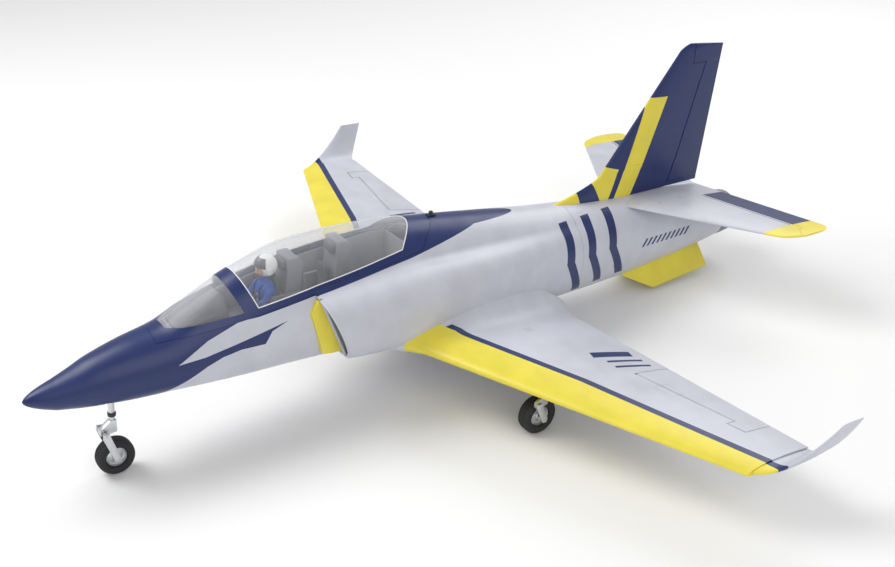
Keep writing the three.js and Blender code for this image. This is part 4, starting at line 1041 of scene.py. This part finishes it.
# ---- Pilot ----
# A hollow moulded bust, as sold for model cockpits: a blue flying suit with a black harness, and a
# white helmet with a dark visor pushed up over a plain doll's face. Torso: z, half-width, half-depth, y.
TORSO = np.array([[60.4, 17, 12, 388], [76, 19, 14, 388], [88, 21.5, 14.5, 387], [97, 22, 13, 387],
                  [103, 17, 10, 387], [107, 10, 8, 387], [110, 7.5, 7, 386.5], [116, 6.5, 6.5, 386]])
SEAT_BACK_Y = 402.5
level = np.linspace(TORSO[0, 0], TORSO[-1, 0], 40)
_, wide, deep, middle = np.moveaxis(station(TORSO, level), -1, 0)
angle = np.linspace(0, 2 * np.pi, 48, endpoint=False)
torso = np.stack([wide[:, None] * signed_power(np.cos(angle), 0.85),
                  middle[:, None] + deep[:, None] * signed_power(np.sin(angle), 0.85),
                  level[:, None] + 0 * angle], axis=-1)
torso[..., 1] = np.minimum(torso[..., 1], SEAT_BACK_Y)
arms = []
for out in (-1, 1):
    route = smooth([(out * 15, 387, 98), (out * 21, 383, 93), (out * 23, 376, 82), (out * 19, 364, 76),
                    (out * 15, 357, 75)], 28)
    arms.append(tube(route, np.interp(np.linspace(0, 1, 28), [0, 0.3, 0.6, 1], [5.5, 6.6, 5.6, 3.8]), 20))
coat = Coat("suit_cloth")
folds = coat.noise(0.12, 2.0, (1, 1, 2.4))
suit_cloth = coat.finish((0.012, 0.085, 0.42), 0.7, 0.7, coat.math("MULTIPLY", folds, 1.6), wear=0.12)
made = piece("pilot_suit", [(torso, True), *((arm, True) for arm in arms)], ends=True, sharp=60)
dress(made, suit_cloth, "hatch", "flight_suit", "pilot_body")

straps = []
for out in (-1, 1):
    heights = np.array([66, 76, 86, 94, 100, 104])
    x = out * np.array([9, 8, 7.5, 8, 9, 9.5])
    depth = np.interp(heights, level, middle - deep * np.sqrt(np.maximum(1 - (8.5 / wide) ** 2, 0.2)))
    straps.append(tube(smooth(np.column_stack([x, depth - 0.4, heights]), 30), 2.1, 10, 0.32))
waist = np.linspace(-np.pi * 0.95, -np.pi * 0.05, 30)
belt = np.column_stack([19.3 * np.cos(waist), 388 + 14.4 * np.sin(waist), np.full(30, 74.0)])
straps.append(tube(belt, 2.0, 10, 0.4))
boom = smooth([(15.5, 386, 121), (14.5, 378, 117), (10, 369.5, 116.5), (4, 366.2, 117.5)], 24)
straps.append(tube(boom, 0.7, 8))
straps.append(pad((2.5, 366, 118), (2.4, 1.4, 1.6), 2.5))
coat = Coat("harness_webbing")
harness_webbing = coat.finish((0.018, 0.018, 0.022), 0.75, 0.5)
made = piece("pilot_harness", [(strap, True) for strap in straps], ends=True)
dress(made, harness_webbing, "hatch", "coaming_dark")
coat = Coat("buckle_metal")
buckle_metal = coat.finish((0.62, 0.63, 0.65), 0.35, 0.1, metallic=1.0)
buckles = [pad((0, 372.6, 83), (3.6, 0.9, 3.6), 5), pad((0, 373.2, 74), (3, 0.9, 2.4), 5)]
made = piece("pilot_buckle", [(buckle, True) for buckle in buckles])
dress(made, buckle_metal, "hatch", "bare_metal")

HEAD, HELMET = np.array([0, 388.5, 131.5]), np.array([16.3, 19.2, 18.3])
LOOK_DOWN = np.radians(12)
FORWARD = np.array([0, -np.cos(LOOK_DOWN), -np.sin(LOOK_DOWN)])
UPWARD = np.array([0, -np.sin(LOOK_DOWN), np.cos(LOOK_DOWN)])


def about_face(off, round_it):
    """Unit directions at an angle off the way the face looks, and an angle round it from the left."""
    return (np.cos(off)[..., None] * FORWARD + (np.sin(off) * np.sin(round_it))[..., None] * UPWARD
            + (np.sin(off) * np.cos(round_it))[..., None] * np.array([1, 0, 0]))


turn_about = np.linspace(0, 2 * np.pi, 72, endpoint=False)
rim = 0.80 + 0.10 * np.cos(2 * turn_about) - 0.10 * np.sin(turn_about)
off = rim + (np.pi - rim) * np.linspace(0, 1, 40)[:, None]
helmet = HEAD + about_face(off, turn_about + 0 * off) * HELMET
coat = Coat("helmet_shell")
helmet_shell = coat.finish((0.82, 0.82, 0.80), 0.28, 0.1)
lug = [pad((out * 15.4, 387, 127), (2.6, 5.5, 6.5), 2.6) for out in (-1, 1)]
made = piece("pilot_helmet", [(helmet, True)], 1.2, None)
dress(made, helmet_shell, "hatch", "helmet_white", "pilot_head")
dress(piece("helmet_ear_cups", [(one, True) for one in lug]), helmet_shell, "hatch", "helmet_white")
off = np.linspace(0, np.pi, 60)[:, None]
way = about_face(off, turn_about + 0 * off)
u, v = way @ np.array([1, 0, 0]), way @ UPWARD
ahead = np.clip(way @ FORWARD, 0, 1)


def bump(x, y, wide, high, height):
    """A soft round rise at (x, y) of the face's own left and up: a two-way Gaussian."""
    return height * np.exp(-(((u - x) / wide) ** 2) - ((v - y) / high) ** 2) * ahead


NOSE, LIPS, CHIN = (0, -0.12, 0.10, 0.17, 0.17), (0, -0.47, 0.17, 0.06, 0.035), (0, -0.70, 0.2, 0.14, 0.05)
FOREHEAD = (0, 0.20, 0.42, 0.09, 0.035)
HOLLOWS = (0.33, 0.05, 0.14, 0.10, -0.05), (-0.33, 0.05, 0.14, 0.10, -0.05)
CHEEKS = (0.45, -0.25, 0.18, 0.18, 0.03), (-0.45, -0.25, 0.18, 0.18, 0.03)
shape = 1 + sum(bump(*feature) for feature in (NOSE, LIPS, CHIN, FOREHEAD, *HOLLOWS, *CHEEKS))
face = HEAD + [0, -1.5, -3.5] + way * shape[..., None] * [12.6, 15.2, 15.8]
coat = Coat("doll_skin")
doll_skin = coat.finish((0.62, 0.36, 0.23), 0.5, 0.1)
dress(piece("pilot_face", [(face, True)]), doll_skin, "hatch", "helmet_white")
eyes = [pad(HEAD + np.array([out * 4.3, -15.4, -2.4]), (1.5, 1.2, 0.9), 2) for out in (-1, 1)]
BROW = np.array([[2.2, 372.0, 132.0], [4.6, 371.9, 132.7], [6.8, 373.2, 132.0]])
brows = [tube(smooth(BROW * [out, 1, 1], 10), 0.5, 8) for out in (-1, 1)]
dress(piece("pilot_eyes_and_brows", [(one, True) for one in (*eyes, *brows)], ends=True), harness_webbing,
      "hatch", "coaming_dark")
sweep = np.linspace(-1.15, 1.15, 60)
tilt = np.linspace(0.16, 1.0, 26)[:, None]
droop = 0.12 * (sweep / 1.15) ** 2
visor = np.stack([np.sin(sweep) * np.cos(tilt), -np.cos(sweep) * np.cos(tilt),
                  np.sin(tilt) + 0 * sweep - droop], axis=-1)
visor /= np.linalg.norm(visor, axis=-1, keepdims=True)
coat = Coat("smoked_visor")
smoked_visor = coat.finish((0.03, 0.03, 0.04), 0.12, wear=0.02)
made = piece("pilot_visor", [(HEAD + visor * (HELMET + [1.1, 0.4, 1.2]), False)], 1.0, None)
dress(made, smoked_visor, "hatch", "coaming_dark")

# ---- Hatch latch ----
# A sprung black knob behind the canopy: slid aft, it frees the hatch.
coat = Coat("black_plastic")
black_plastic = coat.finish((0.022, 0.022, 0.025), 0.45, 0.4)
knob = eased_copy("latch_knob", "hatch_latch", 0.5)
dress(knob, black_plastic, BODY_OF["hatch_latch"], "black_plastic", "hatch_latch")

# ---- Exhaust nozzle and thrust tube ----
# The nozzle is a grey plastic ring glued to the tail; inside it ends the thin rolled tube that
# carries the fan's air aft.
NOZZLE_Z, NOZZLE_LENGTH, TUBE_WALL = 25, 43.6, 1.2


def spin(profile, at, axis, sides=72):
    """A profile of radius and distance turned about an axis (0, 1 or 2) through a point."""
    radius, along = np.asarray(profile, float).T[:, :, None]
    angle = np.linspace(0, 2 * np.pi, sides, endpoint=False)
    spots = np.empty((len(profile), sides, 3))
    spots[..., axis] = along
    spots[..., (axis + 1) % 3] = radius * np.cos(angle)
    spots[..., (axis + 2) % 3] = radius * np.sin(angle)
    return spots + np.asarray(at, float)


outside = smooth([(46, 0, 0), (45.6, 10, 0), (44.3, 21, 0), (42.6, 33, 0), (41, NOZZLE_LENGTH, 0)], 24)[:, :2]
lip_turn = np.linspace(0, np.pi, 9)[1:-1]
lip_round = np.column_stack([40 + np.cos(lip_turn), NOZZLE_LENGTH - 1 + np.sin(lip_turn)])
inside = [(39, NOZZLE_LENGTH - 1), (39, 20), (39.5, 0.0)]
nozzle_profile = np.vstack([outside[:-1], (41, NOZZLE_LENGTH - 1), lip_round, inside, outside[:1]])
coat = Coat("exhaust_plastic")
# A darker band of the same grey round the nozzle's exit lip, outside and in.
dark_lip_band = coat.between(coat.y, NOZZLE_JOINT + 39.0, NOZZLE_JOINT + 60.0)
exhaust_plastic = coat.paint((0.21, 0.21, 0.235), [((0.12, 0.12, 0.135), dark_lip_band)], roughness=0.5)
nozzle = spin(nozzle_profile, (0, NOZZLE_JOINT + 0.35, NOZZLE_Z), 1, 96)
made = piece("nozzle_ring", [(nozzle, True)], sharp=50)
dress(made, exhaust_plastic, "airframe", "exhaust_grey", "exhaust_nozzle")
TUBE = np.array([[878.4, 46.5, 20], [1040, 44.6, 21.4], [1200, 42, 23], [1310, 39.9, 24], [1422, 37.5, 25]])
_, radius, height = np.moveaxis(station(TUBE, np.linspace(TUBE[0, 0], TUBE[-1, 0], 60)), -1, 0)
length = np.linspace(TUBE[0, 0], TUBE[-1, 0], 60)
tube_grid = np.stack([radius[:, None] * np.cos(round_about), length[:, None] + 0 * round_about,
                      height[:, None] + radius[:, None] * np.sin(round_about)], axis=-1)
coat = Coat("rolled_tube")
rolled_tube = coat.paint((0.30, 0.30, 0.32), [], [coat.groove(coat.y, coat.x, (879, 0), (1421, 0), 1.4)], 0.4)
made = piece("thrust_tube_skin", [(tube_grid, True)], TUBE_WALL, (0, 22))
dress(made, rolled_tube, "airframe", "exhaust_grey", "thrust_tube")

# ---- Ducted fan ----
# A black nylon housing with seven stator vanes, a twelve-bladed rotor with a domed spinner, and an
# outrunner motor behind it.
FAN_Y, FAN_Z, BORE, VANES, BLADES = 850, 20, 45, 7, 12
fan_at = (0, FAN_Y, FAN_Z)


def fan_blade(angle, radii, chord, pitch, thick, y):
    """An aerofoil blade: chord set at a pitch off the duct's axis, drawn out along a radius."""
    outward = np.array([np.cos(angle), 0, np.sin(angle)])
    across_it = np.array([-np.sin(angle), 0, np.cos(angle)])
    t = np.concatenate([eased(12)[::-1], eased(12)[1:]])
    up_down = np.concatenate([np.ones(12), -np.ones(11)]) * (half_thickness(t, thick) * chord + 0.25)
    cos, sin = np.cos(pitch)[:, None, None], np.sin(pitch)[:, None, None]
    along = ((t - 0.5) * chord)[None, :, None]
    off = up_down[None, :, None]
    bow = (0.06 * chord * 4 * t * (1 - t))[None, :, None]
    aft = along * cos - (off + bow) * sin
    sideways = along * sin + (off + bow) * cos
    section = aft * np.array([0, 1, 0]) + sideways * across_it
    return np.array([0, y, FAN_Z]) + radii[:, None, None] * outward + section


ring = [(BORE, -23), (BORE + 0.6, -24), (BORE + 2, -24), (BORE + 2, 28), (BORE, 28), (BORE, -23)]
collar = [(17, 12), (19, 12), (19, 28), (17, 28), (17, 12)]
span = np.linspace(18.6, BORE + 0.6, 8)
pitch = np.linspace(0.1, 0.06, 8)
vanes = [fan_blade(2 * np.pi * k / VANES + 0.2, span, 14, pitch, 0.1, FAN_Y + 20) for k in range(VANES)]
made = piece("fan_shroud", [(spin(ring, fan_at, 1), True), (spin(collar, fan_at, 1), True),
                            *((vane, True) for vane in vanes)], ends=True)
dress(made, black_plastic, "airframe", "black_plastic", "fan_housing")
nose_arc = np.linspace(0, np.pi / 2, 16)
spinner = [*zip(18.5 * np.sin(nose_arc), -8 - 22 * np.cos(nose_arc)), (18.5, 8), (0, 8)]
span = np.linspace(17.5, 44.1, 14)
pitch = np.radians(np.linspace(50, 28, 14))
blades = [fan_blade(2 * np.pi * k / BLADES, span, 15, pitch, 0.09, FAN_Y - 6) for k in range(BLADES)]
made = piece("fan_wheel", [(spin(spinner, fan_at, 1), True), *((blade, True) for blade in blades)], ends=True)
dress(made, black_plastic, BODY_OF["fan_rotor"], "black_plastic", "fan_rotor")
can = [(0, 9.2), (15, 9.2), (16.4, 10.5), (16.4, 20), (15.6, 21), (15.6, 42), (16.4, 43), (16.4, 51),
       (11, 61), (0, 63)]
coat = Coat("motor_can")
motor_can = coat.finish((0.20, 0.21, 0.24), 0.3, 0.1, metallic=1.0)
dress(piece("motor_body", [(spin(can, fan_at, 1), True)]), motor_can, "airframe", "motor_can", "fan_motor")

# ---- Landing gear ----
# Turned and milled aluminium: a retract unit in its pocket, a leg, a sprung trailing link and a
# wheel. The pivots carry small cap screws.
NOSE_Y, NOSE_WHEEL_Z, MAIN_X, MAIN_Y, MAIN_WHEEL_Z = 128, -134, 285, 728, -90.2
coat = Coat("milled_aluminium")
brushed = coat.noise(0.5, 3.0, (1, 1, 0.06))
brush_marks = coat.math("MULTIPLY", brushed, 0.3)
milled_aluminium = coat.finish((0.66, 0.67, 0.69), 0.32, 0.25, brush_marks, metallic=1.0)
for node in ("nose_gear_trunnion", "nose_gear_strut", "nose_gear_link",
             *(f"main_gear_{part}_{side}" for part in ("leg", "link") for side, _ in SIDES)):
    made = eased_copy(f"{node}_metal", node, 0.5)
    dress(made, milled_aluminium, BODY_OF[node], "bare_metal", node)
for node in ("nose_gear_unit", "main_gear_unit_left", "main_gear_unit_right"):
    dress(eased_copy(f"{node}_case", node, 0.6), black_plastic, "airframe", "black_plastic", node)


def cap_screw(at, axis, out, radius=1.9, tall=1.6):
    """A round-headed screw with a socket in its crown, its head facing along out times the axis."""
    profile = [(0, 0), (radius, 0), (radius, tall - 0.3), (radius - 0.3, tall), (radius * 0.5, tall),
               (radius * 0.5, 0.4), (0, 0.4)]
    return spin([(r, out * h) for r, h in profile], at, axis, 20)


barrel = [(5.1, -22), (6.3, -22), (6.5, -23), (6.5, -27), (6.3, -28), (5.1, -28), (5.1, -22)]
collars = [spin([(r, h + drop) for r, h in barrel], (0, NOSE_Y, 0), 2, 32) for drop in (0, -34)]
made = piece("nose_leg_collars", [(one, True) for one in collars])
dress(made, black_plastic, "nose_leg", "black_plastic")
screws = [cap_screw((out * 17, 112, NOSE_WHEEL_Z + 47), 0, out) for out in (-1, 1)]
made = piece("nose_link_screws", [(screw, True) for screw in screws])
dress(made, milled_aluminium, "nose_arm", "bare_metal")


SCREW_RING = 9.6


def wheel(name, centre, tyre, rim, width):
    """Tyre and hub on an axle across the airframe: a rounded-square tyre section with three grooves,
    and a dished two-sided hub with six cap screws a side."""
    half = width / 2
    turn = np.linspace(0, 2 * np.pi, 181)
    along = half * signed_power(np.cos(turn), 0.62)
    radius = (tyre + rim) / 2 + (tyre - rim) / 2 * signed_power(np.sin(turn), 0.72)
    tread = radius > tyre - 2.5
    grooves = np.min(np.abs(along[:, None] - [-4.2, 0, 4.2]), axis=1) < 0.55
    radius = np.where(tread & grooves, radius - 0.9, radius)
    wall = np.exp(-(((radius - (tyre * 0.62 + rim * 0.38)) / 0.8) ** 2))
    along = along + np.sign(along) * 0.35 * wall * (np.abs(along) > half * 0.6)
    tyre_skin = spin(np.column_stack([radius, along]), centre, 0, 112)
    rubber = piece(f"{name}_tyre_rubber", [(tyre_skin, True)], sharp=38)
    side = [(2.3, 0.55), (5.4, 0.62), (6.2, 0.58), (7.2, 0.42), (rim - 3.5, 0.26), (rim - 2.2, 0.30),
            (rim - 1.2, 0.56), (rim - 0.6, 0.62), (rim + 0.1, 0.6)]
    profile = [(r, -h * half) for r, h in side] + [(r, h * half) for r, h in side[::-1]]
    hub = spin([*profile, profile[0]], centre, 0, 72)
    screws = []
    for out in (-1, 1):
        for turn in np.arange(6) * np.pi / 3:
            off = (out * half * 0.3, SCREW_RING * np.cos(turn), SCREW_RING * np.sin(turn))
            screws.append(cap_screw(np.array(centre) + off, 0, out, 1.2, 1.2))
    disc = piece(f"{name}_hub_disc", [(hub, True), *((screw, True) for screw in screws)], sharp=40)
    return rubber, disc


coat = Coat("tyre_rubber")
tyre_rubber = coat.finish((0.021, 0.021, 0.023), 0.78, 0.5)
wheels = [("nose_wheel", (0, NOSE_Y, NOSE_WHEEL_Z), 29.9, 16, 25, "nose_tyre", "nose_wheel_hub")]
wheels += [(f"main_wheel_{side}", (flip[0] * MAIN_X, MAIN_Y, MAIN_WHEEL_Z), 31.9, 17, 25, f"main_tyre_{side}",
            f"main_wheel_hub_{side}") for side, flip in SIDES]
for name, centre, tyre, rim, width, tyre_node, hub_node in wheels:
    rubber, disc = wheel(name, centre, tyre, rim, width)
    dress(rubber, tyre_rubber, BODY_OF[tyre_node], "tyre_rubber", tyre_node)
    dress(disc, milled_aluminium, BODY_OF[hub_node], "bare_metal", hub_node)

# ---- Control horns and servo covers ----
# Black nylon horns screwed to each moving surface beside its hinge, and thin covers over the servos
# let into the undersides.
HORN_THICK = 0.8


def horn(x, y, z, down, reach=13):
    """A triangular plate standing off a skin at (y, z), its point beside the hinge."""
    outline = [(y + 5, z), (y + 17, z), (y + 5, z + down * reach), (y + 1.5, z + down * reach)]
    return np.stack([[(x + side, v, w) for v, w in outline] for side in (-HORN_THICK, HORN_THICK)])


def skin_z(point, span_at, hinge_y, share, face):
    return float(point(span_at, share(span_at, hinge_y), face)[2])


for side, flip in SIDES:
    for name, at, hinge_at in (("flap", 258, flap_hinge), ("aileron", 440, aileron_hinge)):
        low = skin_z(wing_point, at, hinge_at(at) + 12, chord_share, -1)
        plate = horn(at, hinge_at(at), low + 1.2, -1)
        made = piece(f"{name}_horn_{side}", [(plate * flip, True)], ends=True, bevel=0.3)
        dress(made, black_plastic, f"{name}_{side}", "black_plastic")
        low = skin_z(wing_point, at, hinge_at(at) - 62, chord_share, -1)
        cover = pad((at, hinge_at(at) - 62, low + 0.4), (11, 22, 1.6), 8)
        made = piece(f"{name}_servo_cover_{side}", [(cover * flip, True)])
        dress(made, wing_paint, "airframe", "foam_grey")
    low = skin_z(stab_point, 76, stab_hinge(76) + 9, stab_share, -1)
    plate = horn(76, stab_hinge(76), low + 0.8, -1, 11)
    made = piece(f"elevator_horn_{side}", [(plate * flip, True)], ends=True, bevel=0.3)
    dress(made, black_plastic, f"elevator_{side}", "black_plastic")

# ---- Inside the fuselage ----
# Battery in blue shrink wrap on a carbon tray, the finned speed controller, the receiver, and the
# carbon tubes that join the wings and the stabilisers.
coat = Coat("shrink_wrap")
band = coat.between(coat.y, 330.0, 338.0)
shrink_wrap = coat.paint((0.03, 0.08, 0.28), [((0.6, 0.6, 0.62), band)], roughness=0.28)
coat = Coat("carbon_fibre")
TOW = 2.1
warp = coat.math("SINE", coat.math("MULTIPLY", coat.math("ADD", coat.x, coat.z), TOW))
weft = coat.math("SINE", coat.math("MULTIPLY", coat.y, TOW))
weave = coat.math("GREATER_THAN", coat.math("MULTIPLY", warp, weft), 0.0)
carbon_fibre = coat.finish(coat.blend(weave, (0.012, 0.012, 0.013), (0.045, 0.045, 0.048)), 0.3, 0.2)
FITTINGS = (("battery_pack", "battery", 4, shrink_wrap, "battery_wrap"),
            ("tray_plate", "battery_tray", 0.4, carbon_fibre, "carbon"),
            ("controller_case", "speed_controller", 0.4, black_plastic, "black_plastic"),
            ("receiver_case", "receiver", 1, black_plastic, "black_plastic"),
            ("wing_joiner", "wing_spar", 0, carbon_fibre, "carbon"),
            ("tail_joiner", "tail_spar", 0, carbon_fibre, "carbon"))
for name, node, width, look, slot in FITTINGS:
    dress(eased_copy(name, node, width), look, "airframe", slot, node)

# ---- Floor, light and camera ----
# A plain pale sweep, three large soft lights and the three-quarter view from the port bow.
FLOOR_DROP = 0.0005
bpy.ops.mesh.primitive_plane_add(size=400, location=(0, 0, -FLOOR_DROP))
floor = bpy.context.object
floor.name = "floor"
plain_floor = bpy.data.materials.new("pale_floor")
plain_floor.use_nodes = True
plain_floor.node_tree.nodes["Principled BSDF"].inputs["Base Color"].default_value = (0.9, 0.9, 0.9, 1)
plain_floor.node_tree.nodes["Principled BSDF"].inputs["Roughness"].default_value = 0.9
floor.data.materials.append(plain_floor)
world = bpy.data.worlds.new("studio")
world.use_nodes = True
world.node_tree.nodes["Background"].inputs["Color"].default_value = (1, 1, 1, 1)
world.node_tree.nodes["Background"].inputs["Strength"].default_value = 0.5
bpy.context.scene.world = world
LIGHTS = (("key", (-1.2, -1.6, 2.6), 1.8, 62), ("fill", (2.8, -0.6, 1.9), 2.4, 26),
          ("rim", (-0.8, 2.6, 2.2), 2.0, 34))
AIM = np.array([0.0366, 0.0, 0.1612])
for name, spot, size, power in LIGHTS:
    lamp = bpy.data.objects.new(name, bpy.data.lights.new(name, "AREA"))
    lamp.data.size, lamp.data.energy = size, power
    lamp.location = spot
    lamp.rotation_euler = (Vector(AIM) - lamp.location).to_track_quat("-Z", "Y").to_euler()
    bpy.context.scene.collection.objects.link(lamp)
CAMERA_BACK, CAMERA_LENS = 2.0262, 47.46
AZIMUTH, ELEVATION = np.radians(55.46), np.radians(28.9)
camera = bpy.data.objects.new("camera", bpy.data.cameras.new("camera"))
camera.data.lens, camera.data.sensor_width = CAMERA_LENS, 36
back = Vector((np.sin(AZIMUTH) * np.cos(ELEVATION), -np.cos(AZIMUTH) * np.cos(ELEVATION), np.sin(ELEVATION)))
camera.location = Vector(AIM) + back * CAMERA_BACK
camera.rotation_euler = (-back).to_track_quat("-Z", "Y").to_euler()
bpy.context.scene.collection.objects.link(camera)
bpy.context.scene.camera = camera
bpy.context.scene.view_settings.view_transform = "Standard"
